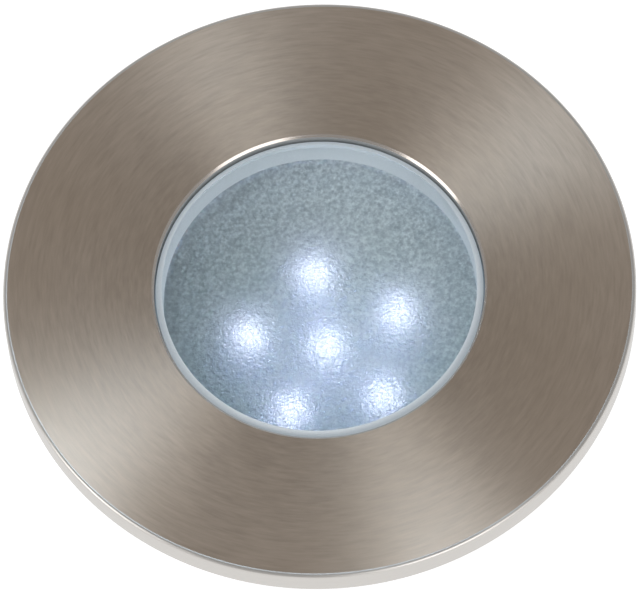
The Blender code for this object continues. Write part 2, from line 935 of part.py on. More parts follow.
def make_terminal_screw(number, sign):
    """A slotted screw in its well, its head facing down."""
    top = terminal_low + terminal_well_depth - seat_gap
    low = top - terminal_screw_height
    place = (sign * terminal_pitch / 2, terminal_row, 0.0)
    radius = terminal_screw_diameter / 2
    shank = rod("terminal_shank", radius, low, top, small_steps // 2, place)
    screw = as_part(shank, f"terminal_screw_{number}")
    slot_low = (-radius - overrun, -slot_width / 2, low - overrun)
    slot_high = (radius + overrun, slot_width / 2, low + slot_depth)
    cut(screw, block(f"terminal_slot_{number}", slot_low, slot_high, place))
    return settle(screw, "brass")


# Cable gland


def make_gland_washer():
    inner = gland_thread / 2 + gland_washer_gap
    outer = inner + gland_washer_width
    low = gland_washer_top - gland_washer_thickness
    profile = [(outer, gland_washer_top), (outer, low), (inner, low), (inner, gland_washer_top)]
    return settle(turned("gland_washer", profile, small_steps, ring=True), "black_rubber")


def make_gland_body():
    """Two threads either side of a hexagon, bored through and opened out for the seal."""
    bore = gland_bore / 2
    thread = gland_thread / 2
    tail = gland_tail_thread / 2
    corner = gland_flats / 2 / math.cos(math.pi / 6)
    socket = tail - gland_throat_wall
    profile = [
        (bore, gland_boss_top),
        (thread - thread_gap, gland_boss_top),
        (thread, gland_boss_top - thread_gap),
        (thread, gland_flange_top),
        (corner, gland_flange_top),
        (corner, gland_flange_under),
        (tail, gland_flange_under),
        (tail, gland_tail_end),
        (socket, gland_tail_end),
        (socket, gland_seal_top + seat_gap),
        (bore, gland_seal_top + seat_gap + socket - bore),
    ]
    body = turned("gland_body", profile, small_steps, ring=True)
    low, high = gland_flange_under - overrun, gland_flange_top + overrun
    envelope = plate("gland_hexagon", hex_outline(gland_flats), low, high)
    low, high = gland_flange_top, gland_boss_top + overrun
    join(envelope, rod("gland_above", thread + running_gap, low, high, small_steps))
    low, high = gland_tail_end - overrun, gland_flange_under
    join(envelope, rod("gland_below", tail + running_gap, low, high, small_steps))
    combine(body, envelope, "INTERSECT")
    return settle(body, "black_nylon")


def make_gland_seal():
    """A rubber bush that the nut squeezes round the cable."""
    bore = gland_seal_bore / 2
    outer = gland_tail_thread / 2 - gland_throat_wall - seat_gap
    top = gland_seal_top
    low = top - gland_seal_length
    profile = [
        (bore, top),
        (outer, top),
        (outer, low + gland_seal_taper),
        (outer - gland_seal_taper, low),
        (bore, low),
    ]
    return settle(turned("gland_seal", profile, small_steps, ring=True), "black_rubber")


def make_gland_nut():
    """A hexagon nut with a rounded end that closes round the cable."""
    mouth = gland_nut_mouth / 2
    end = gland_nut_end / 2
    corner = gland_nut_flats / 2 / math.cos(math.pi / 6)
    thread = gland_tail_thread / 2 + thread_gap
    dome_top = gland_nut_bottom + gland_nut_dome
    dome = []
    for step in range(round_steps + 1):
        angle = math.pi / 2 * step / round_steps
        dome.append((end + (corner - end) * math.cos(angle), dome_top - gland_nut_dome * math.sin(angle)))
    seal_low = gland_seal_top - gland_seal_length - seat_gap
    profile = [
        (thread, gland_nut_top),
        (corner, gland_nut_top),
        *dome,
        (mouth, gland_nut_bottom),
        (mouth, seal_low),
        (thread, seal_low),
    ]
    nut = turned("gland_nut", profile, small_steps, ring=True)
    low, high = gland_nut_bottom - overrun, gland_nut_top + overrun
    combine(nut, plate("nut_hexagon", hex_outline(gland_nut_flats), low, high), "INTERSECT")
    return settle(nut, "black_nylon")


# Clips. Each is modelled about its pin, with X out of the body, Y along the pin and Z up


def tilted():
    """From the arm's own frame, X along the arm and Z across its steel, to its place at rest."""
    return Matrix.Rotation(-math.radians(clip_rest_angle), 4, "Y")


def strip_outline():
    """The arm seen from its side: a flat web that curls down at its tip."""
    middle = (web_inner + web_outer) / 2
    straight = clip_length - clip_curl
    centre = (straight, middle - clip_curl)
    turn = 90.0 - clip_curl_turn
    upper = arc(centre, clip_curl + clip_steel / 2, 90.0, turn, round_steps)
    lower = arc(centre, clip_curl - clip_steel / 2, turn, 90.0, round_steps)
    return [(clip_web_start, web_outer), *upper, *lower, (clip_web_start, web_inner)]


def web_plan():
    """The arm seen from above: it narrows to a tip with cut corners."""
    wide = clip_half_width
    narrow = clip_tip_width / 2
    half = [
        (clip_web_start - overrun, wide),
        (clip_ear_length + clip_ear_end, wide),
        (clip_length - clip_corner, narrow),
        (clip_length + overrun, narrow - clip_corner),
    ]
    return half + [(along, -across) for along, across in reversed(half)]


def arm_section():
    """The arm seen along its length: its bends are rounded over its upper corners."""
    low = -clip_ear_radius - overrun
    inside = clip_half_width - clip_bend_radius
    height = web_outer - clip_bend_radius
    right = arc((inside, height), clip_bend_radius, 0.0, 90.0, round_steps)
    left = [(-across, up) for across, up in reversed(right)]
    return [(clip_half_width, low), *right, *left, (-clip_half_width, low)]


def bead_outline(base, top, inset):
    """A pressed bead seen from the side, sloping at both ends."""
    start, end = clip_bead_start + inset, clip_bead_end - inset
    slope = clip_bead_rise * 2
    return [(start, base), (start + slope, top), (end - slope, top), (end, base)]


def ear_outline():
    """A cheek of the arm: round about the pin, and running out along the web."""
    return [
        *arc((0.0, 0.0), clip_ear_radius, 115.0, 300.0, small_steps // 2),
        (clip_ear_length, web_inner - clip_ear_end),
        (clip_ear_length + clip_ear_end, web_inner + clip_steel / 4),
        (clip_web_start, web_inner + clip_steel / 4),
    ]


def make_clip_arm():
    """A folded steel arm: web with a pressed bead, curled tip and two cheeks bored for the pin."""
    strip = plate("arm_strip", strip_outline(), -clip_half_width, clip_half_width, turn=upright)
    arm = as_part(strip, "clip_arm")
    plan = plate("arm_plan", web_plan(), -web_outer, web_outer + overrun)
    combine(arm, plan, "INTERSECT")
    low, high = -clip_ear_radius - overrun, clip_length + overrun
    combine(arm, plate("arm_section", arm_section(), low, high, turn=turn_z(90.0) @ upright), "INTERSECT")
    for sign in (-1, 1):
        low, high = sorted((sign * ear_inside, sign * ear_outside))
        join(arm, plate(f"ear_{sign}", ear_outline(), low, high, holes=[pin_bore()], turn=upright))
    hook = rod(
        "hook_hole",
        wire / 2 + clip_hook_gap,
        web_inner - overrun,
        web_outer + overrun,
        small_steps // 2,
        (clip_hook_reach, coil_length / 2, 0.0),
    )
    cut(arm, hook)
    ridge = bead_outline(web_outer - clip_steel / 2, web_outer + clip_bead_rise, 0.0)
    join(arm, plate("arm_bead", ridge, -clip_bead_half, clip_bead_half, turn=upright))
    groove_top = web_outer + clip_bead_rise - clip_bead_steel
    groove = bead_outline(web_inner - overrun, groove_top, clip_bead_steel)
    half = clip_bead_half - clip_bead_steel / 2
    cut(arm, plate("arm_groove", groove, -half, half, turn=upright))
    settle(arm, "spring_steel")
    return moved(arm, turn=tilted())


def make_clip_pin():
    """A round pin with a head beyond one lug and a tail beyond the other."""
    head_face = -lug_outside - seat_gap
    tail = lug_outside + seat_gap + pin_washer_thickness + pin_tail
    head = pin_head / 2
    profile = [
        (0.0, tail),
        (pin_radius - running_gap, tail),
        (pin_radius, tail - running_gap),
        (pin_radius, head_face),
        (head, head_face),
        (head, head_face - pin_head_height / 2),
        (head - pin_head_height / 2, head_face - pin_head_height),
        (0.0, head_face - pin_head_height),
    ]
    pin = settle(turned("clip_pin", profile, small_steps), "plain_steel")
    return moved(pin, turn=Matrix.Rotation(-math.pi / 2, 4, "X"))


def make_pin_washer():
    """The push-on washer that keeps the pin in its lugs."""
    low = lug_outside + seat_gap
    high = low + pin_washer_thickness
    inner = pin_radius + running_gap
    outer = pin_washer / 2
    profile = [(outer, high), (outer, low), (inner, low), (inner, high)]
    washer = settle(turned("clip_washer", profile, small_steps, ring=True), "spring_steel")
    return moved(washer, turn=Matrix.Rotation(-math.pi / 2, 4, "X"))


def spring_route():
    """Points along the wire: fixed leg, coil and the leg that lies under the arm's web.

    Across is X out of the body, along is Y on the pin's axis, up is Z."""
    leg_end = anchor_face - anchor_depth + seat_gap
    half = coil_length / 2
    bend = wire_bend
    points = [Vector((leg_end, -half, -fixed_leg_fall))]
    corner = (-coil_radius - bend, -fixed_leg_fall + bend)
    for across, up in arc(corner, bend, -90.0, 0.0, bend_steps):
        points.append(Vector((across, -half, up)))

    start = 180.0
    finish = clip_rest_angle + 90.0 - 360.0 * coil_turns
    steps = round((start - finish) / 360.0 * coil_steps)
    for step in range(steps + 1):
        share = step / steps
        angle = math.radians(start + (finish - start) * share)
        across, up = coil_radius * math.cos(angle), coil_radius * math.sin(angle)
        points.append(Vector((across, coil_length * share - half, up)))

    tilt = tilted()
    centre = (clip_hook_reach - bend, coil_radius + bend)
    for along, away in arc(centre, bend, -90.0, 0.0, bend_steps):
        points.append(tilt @ Vector((along, half, away)))
    points.append(tilt @ Vector((clip_hook_reach, half, web_outer + hook_stand)))
    return points


def least_self_gap(points):
    """The least distance between the wire and its own neighbouring turns, surface to surface."""
    apart = coil_steps // 2
    least = math.inf
    for index, point in enumerate(points):
        for other in range(index + apart, len(points) - 1):
            start, end = points[other], points[other + 1]
            run = end - start
            share = max(0.0, min(1.0, (point - start).dot(run) / run.length_squared))
            least = min(least, (start + run * share - point).length)
    return least - wire


def make_clip_spring():
    """One unbroken wire, wound round the pin."""
    points = spring_route()
    gap, wanted = least_self_gap(points) * 1000, least_coil_gap * 1000
    print(f"clip spring: least gap to itself {gap:.3f} mm, wanted over {wanted:.1f} mm")
    curve = bpy.data.curves.new("clip_spring", "CURVE")
    curve.dimensions = "3D"
    curve.bevel_depth = wire / 2
    curve.bevel_resolution = 1
    curve.use_fill_caps = True
    spline = curve.splines.new("POLY")
    spline.points.add(len(points) - 1)
    for place, point in zip(spline.points, points):
        place.co = (*point, 1.0)
    curve.materials.append(material_named("spring_steel"))
    return new_object("clip_spring", curve)


def place_clip(side, degrees, pieces):
    """Puts a copy of each piece of the clip on its pin axis, on the side given."""
    axis = bpy.data.objects.new(f"{side}_clip_axis", None)
    parts.objects.link(axis)
    axis.empty_display_size = pin_diameter
    axis.location = on_circle(clip_axis_reach, degrees, -clip_axis_depth)
    axis.rotation_euler = (0.0, 0.0, math.radians(degrees))
    for name, data in pieces:
        copy = new_object(f"{side}_{name}", data)
        copy.parent = axis


def make_clips():
    made = [make_clip_arm(), make_clip_pin(), make_pin_washer(), make_clip_spring()]
    pieces = [(obj.name, obj.data) for obj in made]
    for obj in made:
        bpy.data.objects.remove(obj, do_unlink=True)
    place_clip("right", 0.0, pieces)
    place_clip("left", 180.0, pieces)


def build():
    make_bezel()
    make_gasket()
    make_lens()
    make_lens_seal()
    make_housing()
    for number, degrees in enumerate(screw_angles, start=1):
        make_bezel_screw(number, degrees)
        make_board_screw(number, degrees)
    make_board()
    for name, centre, degrees in lamp_places():
        make_lamp(name, centre, degrees)
    for number, row in enumerate(resistor_rows, start=1):
        make_resistor(number, row)
    make_rectifier()
    make_terminal_block()
    for number, sign in enumerate((-1, 1), start=1):
        make_terminal_screw(number, sign)
    make_gland_washer()
    make_gland_body()
    make_gland_seal()
    make_gland_nut()
    make_clips()
    bpy.context.view_layer.update()


build()
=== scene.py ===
"""The looks of a recessed deck light: turned and brushed steel, a stepped glass lens with a frosted
underside, lit lamps under it, and the moulded housing, sprung clips and cable gland below the deck."""

import math

import bpy
from mathutils import Matrix, Vector


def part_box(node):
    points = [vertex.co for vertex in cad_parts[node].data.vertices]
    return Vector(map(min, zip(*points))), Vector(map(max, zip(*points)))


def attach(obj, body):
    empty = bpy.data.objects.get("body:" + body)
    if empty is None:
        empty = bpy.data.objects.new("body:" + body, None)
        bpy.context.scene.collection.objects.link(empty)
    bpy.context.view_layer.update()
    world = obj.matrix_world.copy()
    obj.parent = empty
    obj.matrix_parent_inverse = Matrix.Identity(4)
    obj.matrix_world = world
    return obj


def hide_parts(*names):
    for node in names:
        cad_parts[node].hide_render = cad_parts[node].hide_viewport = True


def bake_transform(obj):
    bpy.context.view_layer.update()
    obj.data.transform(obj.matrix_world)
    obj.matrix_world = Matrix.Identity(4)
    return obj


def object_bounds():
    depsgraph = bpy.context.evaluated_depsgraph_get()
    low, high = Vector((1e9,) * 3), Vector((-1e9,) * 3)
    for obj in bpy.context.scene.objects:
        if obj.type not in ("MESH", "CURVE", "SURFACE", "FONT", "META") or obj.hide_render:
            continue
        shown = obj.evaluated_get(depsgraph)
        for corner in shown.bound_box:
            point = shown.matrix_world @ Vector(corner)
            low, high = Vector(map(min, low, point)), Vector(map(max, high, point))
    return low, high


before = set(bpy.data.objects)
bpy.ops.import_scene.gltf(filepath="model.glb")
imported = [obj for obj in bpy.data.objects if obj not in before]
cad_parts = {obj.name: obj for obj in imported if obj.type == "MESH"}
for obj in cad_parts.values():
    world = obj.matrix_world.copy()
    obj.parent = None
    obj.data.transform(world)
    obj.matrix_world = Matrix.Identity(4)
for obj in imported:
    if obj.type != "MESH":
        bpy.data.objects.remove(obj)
cad_low, cad_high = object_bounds()

# Sizes of the steel face and the glass, in metres
face_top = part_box("bezel")[1].z
face_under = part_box("bezel")[0].z
face_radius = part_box("bezel")[1].x
window_radius = 0.01569
window_chamfer = 0.00022
counterbore_radius = 0.0192
lip_thickness = 0.0020
edge_round = 0.0004
under_chamfer = 0.0002
level_share = 0.995

lens_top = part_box("lens")[1].z
lens_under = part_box("lens")[0].z
lens_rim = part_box("lens")[1].x
lens_radius = 0.01555
lens_bevel = 0.0006
lens_shoulder = 0.0010
lens_chamfer = 0.0003
frost_radius = 0.0149

lamp_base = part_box("led_centre")[1].z - 0.0086
lamp_radius = 0.0025
lamp_flange = 0.0029
lamp_flange_height = 0.0010
lamp_lead = 0.0006
lamp_lead_pitch = 0.00254
chip_radius = 0.0013
chip_depth = 0.0018
chip_offset = 0.00035

# The lamp board and the pieces under it
board_low, board_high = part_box("led_board")[0].z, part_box("led_board")[1].z
board_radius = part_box("led_board")[1].x
board_edge = 0.0001
under_board = 0.0010
lamp_circle = 0.00765
track_half = 0.0007
hole_gap = 0.00015
resistor_half = 0.0031
resistor_pitch = 0.0100
resistor_lead = 0.0006
resistor_bulb = 0.00115
band_half = 0.00022
legs_pitch = 0.0026
leg_half = 0.0003
leg_steel = 0.00015
bridge_draft = 0.00015
bridge_edge = 0.00012
bridge_leg_reach = 0.0008
terminal_pitch = 0.0050
terminal_pin = 0.0005
terminal_pin_embed = 0.0002
terminal_edge = 0.0002
terminal_rib_half = 0.0003
terminal_rib_rise = 0.0001
terminal_rib_inset = 0.0006
terminal_rib_edge = 0.0001
terminal_entry = 0.0011
terminal_entry_fall = 0.0020
terminal_entry_depth = 0.0035
terminal_well = 0.0017
terminal_well_depth = 0.0026
slot_half = 0.0003
slot_depth = 0.0006

gap = 0.0003
screw_angles = (90.0, 210.0, 330.0)
screw_circle = 0.02325
screw_shank = 0.00125
screw_head = 0.00225
screw_head_height = 0.0017
screw_clearance = 0.00015
screw_pitch = 0.00045
tapped_depth = 0.0020
screw_edge = 0.0001
thread_depth = 0.00022
thread_point = 0.0003
thread_end = 0.0002

# The moulded housing
flange_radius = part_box("housing")[1].x
flange_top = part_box("housing")[1].z
flange_thickness = 0.0027
flange_low = flange_top - flange_thickness
mouth_radius = counterbore_radius
seat_height = -0.0023
port_radius = 0.0152
ledge_low = -0.0039
collar_radius = 0.0208
body_radius = 0.0189
body_inside = 0.0171
body_draft = 0.0003
body_top = ledge_low - (collar_radius - body_radius)
shoulder_top = -0.0210
shoulder_low = -0.0230
chamber_radius = 0.0132
chamber_inside = 0.0116
chamber_draft = 0.0002
chamber_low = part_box("housing")[0].z
chamber_floor = chamber_low + 0.0022
boss_rise = 0.0010
boss_radius = 0.00855
gland_hole = 0.00615
gusset_angles = (30.0, 65.0, 115.0, 150.0, 240.0, 270.0, 300.0)
gusset_half = 0.0006
gusset_height = 0.0100
gusset_inset = 0.0010
board_screw_circle = 0.0142
board_screw_shank = 0.0010
board_screw_head = 0.0014
board_thread_depth = 0.0002
board_boss = 0.0021
board_boss_low = -0.0278
board_boss_edge = 0.0003
flange_soft, step_soft, root_soft = 0.0005, 0.0008, 0.0004
flange_hole_gap = 0.0002
weld = 0.0010
overrun = 0.0010

# The seal round the glass and the gasket under the face
seal_top, seal_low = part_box("lens_seal")[1].z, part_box("lens_seal")[0].z
seal_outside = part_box("lens_seal")[1].x
seal_leg = 0.0007
seal_edge = 0.00015
gasket_low, gasket_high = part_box("deck_gasket")[0].z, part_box("deck_gasket")[1].z
gasket_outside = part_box("deck_gasket")[1].x
gasket_inside = gasket_outside - 0.0026

# The cable gland
gland_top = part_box("gland_body")[1].z
gland_thread = 0.0060
gland_bore = 0.0036
gland_flats = 0.0075
gland_collar_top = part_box("gland_washer")[0].z - gap
gland_collar_low = gland_collar_top - 0.0035
gland_tail = 0.0056
gland_tail_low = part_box("gland_body")[0].z
gland_pitch = 0.0015
gland_depth = 0.0005
throat_wall = 0.0009
gland_corner = 0.0004
corner_gap = 0.00005
nut_top, nut_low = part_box("gland_nut")[1].z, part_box("gland_nut")[0].z
nut_flats = 0.0070
nut_end = 0.0053
nut_mouth = 0.0037
nut_dome = 0.0040
nut_corner_gap = 0.00001
nut_thread_gap = 0.00015
bush_top, bush_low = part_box("gland_seal")[1].z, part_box("gland_seal")[0].z
bush_bore = 0.00325
bush_taper = 0.0008
bush_lip = 0.0003

# The clips, each about its own pin
pin_reach = 0.0224
pin_height = -0.0180
rest_angle = 50.0
steel = 0.0008
bead_start, bead_end = 0.0020, 0.0095
bead_half = 0.0006
bead_rise = 0.0004
bead_steel = 0.0005
bead_edge = 0.00018
web_inside = 0.00265
web_outside = web_inside + steel
arm_half = 0.0047
arm_tip_half = 0.0036
arm_corner = 0.0012
arm_edge = 0.00008
arm_start = 0.0004
arm_length = 0.0120
arm_curl = 0.0009
arm_curl_turn = 75.0
ear_radius = 0.0023
ear_length = 0.0056
ear_end = 0.0012
bend_radius = 0.0007
pin_radius = 0.00125
pin_bore = pin_radius + 0.0001
pin_head = 0.0020
pin_head_height = 0.0008
pin_head_edge = 0.00008
pin_chamfer = 0.0002
pin_tail = 0.0006
lug_inside = 0.0050
lug_outside = 0.0064
lug_radius = 0.0026
lug_rise = 0.0052
lug_fall = 0.0036
lug_embed = 0.0012
lug_edge = 0.00015
stop_half = 0.0006
stop_place = 0.0016
stop_heel = 0.0010
stop_toe = 0.0030
stop_rise = 0.0032
stop_edge = 0.00012
clamp_washer = 0.0023
clamp_thickness = 0.0005
clamp_steel = 0.0003
clamp_teeth = 6
clamp_grip = 0.00005
clamp_slot_half = 0.00014
clamp_shelf_share, clamp_slot_share = 0.78, 0.92
wire_radius = 0.00035
coil_radius = 0.0020
coil_length = 0.0060
coil_turns = 5
leg_bend = 0.0008
fixed_leg_fall = 0.0024
hook_reach = 0.0070
hook_stand = 0.00045
hook_hole = wire_radius + gap
anchor_half = 0.0012
anchor_face = -coil_radius - wire_radius - gap
anchor_depth = 0.0013
anchor_hole = wire_radius + 0.00035

upright = Matrix.Rotation(math.pi / 2, 4, "X")
lying = Matrix.Rotation(math.pi / 2, 4, "Y")
along_pin = Matrix.Rotation(-math.pi / 2, 4, "X")
tilted = Matrix.Rotation(-math.radians(rest_angle), 4, "Y")

# The photograph's view and its light: angles in degrees, counted from +X towards +Y, then upwards
view_elevation = 65.0
view_roll = -4.21
view_distance = 0.7034
view_drop = 0.00104
view_lens = 418.0
far_light = 2.4
near_light = 0.8
cool = (0.66, 0.83, 1.0)
plain_white = (1.0, 1.0, 1.0)
floor_size = 6.0
floor_gap = 0.00005

# How finely things are turned, and how near two points have to be to be welded
weld_distance = 0.0000005
fine = 256
shell_sides = 192
medium = 96
small = 48
well_sides = 32
drilled = 24
thin = 16


# Shaping


def only(obj, *others):
    """Selects this object, and any others with it, and works on this one."""
    bpy.ops.object.select_all(action="DESELECT")
    for item in (obj, *others):
        item.select_set(True)
    bpy.context.view_layer.objects.active = obj


def gather(obj, *others):
    """Makes the others a part of this piece, each with its own finish."""
    only(obj, *others)
    bpy.ops.object.join()
    return obj


def discard(*objects):
    for obj in objects:
        bpy.data.objects.remove(obj, do_unlink=True)


def at(across, along=0.0, up=0.0):
    return Matrix.Translation((across, along, up))


def around(degrees, radius=0.0, height=0.0):
    """A place on a circle about the light's axis, turned to face outwards."""
    return Matrix.Rotation(math.radians(degrees), 4, "Z") @ Matrix.Translation((radius, 0.0, height))


def middle_of(name):
    """The middle of a CAD node, seen from above."""
    low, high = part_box(name)
    return (low.x + high.x) / 2, (low.y + high.y) / 2


def arc(centre, radius, start, end, steps):
    """Points along an arc from one angle in degrees to another."""
    turns = [math.radians(start + (end - start) * step / steps) for step in range(steps + 1)]
    return [(centre[0] + radius * math.cos(turn), centre[1] + radius * math.sin(turn)) for turn in turns]


def round_hole(radius, sides=well_sides):
    return arc((0.0, 0.0), radius, 0.0, 360.0 - 360.0 / sides, sides - 1)


def column(radius, top, low, pitch):
    """Points down a straight wall, close enough for a thread."""
    count = max(2, round((top - low) / pitch * 8))
    return [(radius, top + (low - top) * step / count) for step in range(count + 1)]


def lathe(name, profile, sides, ring=False):
    """A turned piece: a circle that is extruded ring by ring along its (radius, height) profile.

    A flat end needs no point on the axis; a rounded one has it last."""
    bpy.ops.object.select_all(action="DESELECT")
    radius, height = profile[0]
    bpy.ops.mesh.primitive_circle_add(vertices=sides, radius=radius, location=(0, 0, height))
    obj = bpy.context.object
    obj.name = name
    bpy.ops.object.transform_apply(location=True, rotation=False, scale=False)
    bpy.ops.object.mode_set(mode="EDIT")
    bpy.ops.mesh.select_mode(type="EDGE")
    bpy.ops.mesh.select_all(action="SELECT")
    for next_radius, next_height in profile[1:]:
        share = max(next_radius, 1e-6) / radius
        bpy.ops.mesh.extrude_edges_move(TRANSFORM_OT_translate={"value": (0, 0, next_height - height)})
        bpy.ops.transform.resize(value=(share, share, 1), center_override=(0, 0, next_height))
        radius, height = max(next_radius, 1e-6), next_height
    if profile[-1][0] == 0:
        bpy.ops.mesh.merge(type="CENTER")
    bpy.ops.mesh.select_all(action="DESELECT")
    bpy.ops.mesh.select_non_manifold()
    if ring:
        bpy.ops.mesh.bridge_edge_loops()
    else:
        bpy.ops.mesh.fill_holes(sides=0)
    bpy.ops.mesh.select_all(action="SELECT")
    bpy.ops.mesh.normals_make_consistent(inside=False)
    bpy.ops.object.mode_set(mode="OBJECT")
    return obj


def peg(radius, low, high, sides=small):
    """A round tool along Z."""
    return lathe("peg", [(radius, low), (radius, high)], sides)


def hexagon(flats, low, high):
    """A six-sided bar, from the distance between its axis and a flat."""
    return peg(flats / math.cos(math.pi / 6), low, high, 6)


def box(low, high):
    """A square tool between two corners."""
    bpy.ops.object.select_all(action="DESELECT")
    bpy.ops.mesh.primitive_cube_add(size=1.0)
    obj = bpy.context.object
    middle = (Vector(low) + Vector(high)) / 2
    return put(obj, Matrix.Translation(middle) @ Matrix.Diagonal((*(Vector(high) - Vector(low)), 1.0)))


def drawn(name, loops, closed, **settings):
    """Straight-edged curves through the loops' points, made one welded mesh."""
    curve = bpy.data.curves.new(name, "CURVE")
    for label, value in settings.items():
        setattr(curve, label, value)
    for loop in loops:
        spline = curve.splines.new("POLY")
        spline.points.add(len(loop) - 1)
        for point, place in zip(spline.points, loop):
            point.co = Vector(place).to_4d()
        spline.use_cyclic_u = closed
    made = bpy.data.objects.new(name, curve)
    bpy.context.scene.collection.objects.link(made)
    only(made)
    bpy.ops.object.convert(target="MESH")
    bpy.ops.object.mode_set(mode="EDIT")
    bpy.ops.mesh.select_all(action="SELECT")
    bpy.ops.mesh.remove_doubles(threshold=weld_distance)
    if closed:
        bpy.ops.mesh.dissolve_limited(angle_limit=math.radians(1.0))
    bpy.ops.mesh.normals_make_consistent(inside=False)
    bpy.ops.object.mode_set(mode="OBJECT")
    return bpy.context.object


def plate(outline, low, high, holes=()):
    """A flat outline, with any holes, given a thickness along Z."""
    half, middle = (high - low) / 2, (low + high) / 2
    flat = drawn("plate", (outline, *holes), True, dimensions="2D", fill_mode="BOTH", extrude=half)
    return put(flat, at(0.0, 0.0, middle))


def tube(name, route, radius):
    """A round wire along a route, closed at both ends."""
    round_wire = {"dimensions": "3D", "bevel_depth": radius, "bevel_resolution": 4, "use_fill_caps": True}
    return smooth(drawn(name, [route], False, **round_wire), 50.0)


def put(obj, matrix):
    """Writes a place and a turn into the piece's mesh."""
    only(obj)
    obj.matrix_world = matrix
    bpy.ops.object.transform_apply(location=True, rotation=True, scale=True)
    return obj


def copy_of(obj, name, matrix):
    made = obj.copy()
    made.data = obj.data.copy()
    made.name = name
    bpy.context.scene.collection.objects.link(made)
    return put(made, matrix)


def soften(obj, width, steps=2, degrees=40.0):
    """Rounds the sharp edges."""
    only(obj)
    edge = obj.modifiers.new("soft edges", "BEVEL")
    edge.width = width
    edge.segments = steps
    edge.limit_method = "ANGLE"
    edge.angle_limit = math.radians(degrees)
    bpy.ops.object.modifier_apply(modifier=edge.name)
    return obj


def work(obj, operation, *tools):
    """Joins, cuts or trims a piece with tools, which are used up."""
    for tool in tools:
        only(obj)
        step = obj.modifiers.new("work", "BOOLEAN")
        step.operation = operation
        step.solver = "EXACT"
        step.object = tool
        bpy.ops.object.modifier_apply(modifier=step.name)
        discard(tool)
    return obj


def join(obj, *tools):
    return work(obj, "UNION", *tools)


def cut(obj, *tools):
    return work(obj, "DIFFERENCE", *tools)


def wind_thread(obj, radius, low, high, pitch, depth):
    """Presses a thread into a column of close rings, running out at both of its ends."""
    for vertex in obj.data.vertices:
        place = vertex.co
        reach = place.xy.length
        if not (low < place.z < high and abs(reach - radius) < depth / 2):
            continue
        turn = math.atan2(place.y, place.x) / math.tau
        valley = abs(2.0 * ((place.z / pitch - turn) % 1.0) - 1.0)
        fade = min(1.0, (place.z - low) / pitch, (high - place.z) / pitch)
        share = 1.0 - depth / reach * valley * fade
        place.x *= share
        place.y *= share
    return obj


def smooth(obj, degrees=28.0):
    only(obj)
    bpy.ops.object.shade_smooth_by_angle(angle=math.radians(degrees))
    return obj


def dress(obj, *finishes):
    obj.data.materials.clear()
    for finish in finishes:
        obj.data.materials.append(finish)
    return obj


def belongs(obj, node_name, body="light"):
    """Puts a finished piece on its body, in the place of the CAD node that it stands for."""
    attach(obj, body)
    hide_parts(node_name)


# Shader nodes and finishes


def wire(tree, socket, value):
    if isinstance(value, bpy.types.NodeSocket):
        tree.links.new(value, socket)
    else:
        socket.default_value = value


def node(tree, kind, *values, out=0, sockets=None, **settings):
    """Adds a shader node, fills its inputs in order or by name, and returns one of its outputs."""
    made = tree.nodes.new("ShaderNode" + kind)
    for name, value in settings.items():
        setattr(made, name, value)
    for socket, value in zip(made.inputs, values):
        if value is not None:
            wire(tree, socket, value)
    for name, value in (sockets or {}).items():
        wire(tree, made.inputs[name], value)
    return made.outputs[out]


def calc(tree, operation, first, second=0.0):
    return node(tree, "Math", first, second, operation=operation)


def span(tree, value, low, high, new_low, new_high):
    """Maps a value from one range to another, held at the ends."""
    return node(tree, "MapRange", value, low, high, new_low, new_high)


def swing(tree, value, low, high):
    """Maps the usual reach of noise to a range."""
    return span(tree, value, 0.3, 0.7, low, high)


def blend_colours(tree, share, first, second):
    made = tree.nodes.new("ShaderNodeMix")
    made.data_type = "RGBA"
    wire(tree, made.inputs[0], share)
    for socket, colour in ((made.inputs[6], first), (made.inputs[7], second)):
        wire(tree, socket, colour if isinstance(colour, bpy.types.NodeSocket) else (*colour, 1.0))
    return made.outputs[2]


def shader_mix(tree, share, first, second):
    """Mixes two shaders: at a share of one only the second is left."""
    return node(tree, "MixShader", share, first, second)


def object_place(tree):
    return node(tree, "TexCoord", out="Object")


def noise(tree, scale, detail, roughness, stretch=None, place=None):
    """Noise over a piece's own coordinates, stretched or not, or over the place that is given."""
    if place is None:
        place = object_place(tree)
    if stretch is not None:
        place = node(tree, "Mapping", place, sockets={"Scale": stretch})
    sockets = {"Vector": place, "Scale": scale, "Detail": detail, "Roughness": roughness}
    return node(tree, "TexNoise", sockets=sockets, out="Fac")


def parts_of(tree, place):
    """The X, Y and Z of a place."""
    split = tree.nodes.new("ShaderNodeSeparateXYZ")
    wire(tree, split.inputs[0], place)
    return split.outputs


def ring_flat(tree):
    """The way from the light's axis to a place, laid flat, and the place's height."""
    across, along, height = parts_of(tree, object_place(tree))
    return node(tree, "CombineXYZ", across, along, 0.0), height


def ring_radius(tree):
    """How far a place lies from the light's axis."""
    return node(tree, "VectorMath", ring_flat(tree)[0], operation="LENGTH", out="Value")


def ring_noise(tree, along, across, detail, roughness):
    """Noise that runs slowly along the rings of a lathe cut and fast across them."""
    flat, height = ring_flat(tree)
    way = node(tree, "VectorMath", flat, operation="NORMALIZE")
    way = node(tree, "VectorMath", way, (along,) * 3, operation="MULTIPLY")
    step = calc(tree, "MULTIPLY", calc(tree, "ADD", ring_radius(tree), height), across)
    place = node(tree, "VectorMath", way, node(tree, "CombineXYZ", 0.0, 0.0, step), operation="ADD")
    return noise(tree, 1.0, detail, roughness, place=place)


def bump(tree, height, distance, strength=1.0):
    return node(tree, "Bump", sockets={"Height": height, "Distance": distance, "Strength": strength})


def feed(tree, shader, **inputs):
    """Links or sets a shader's inputs by name."""
    for label, value in inputs.items():
        wire(tree, shader.inputs[label.replace("_", " ")], value)


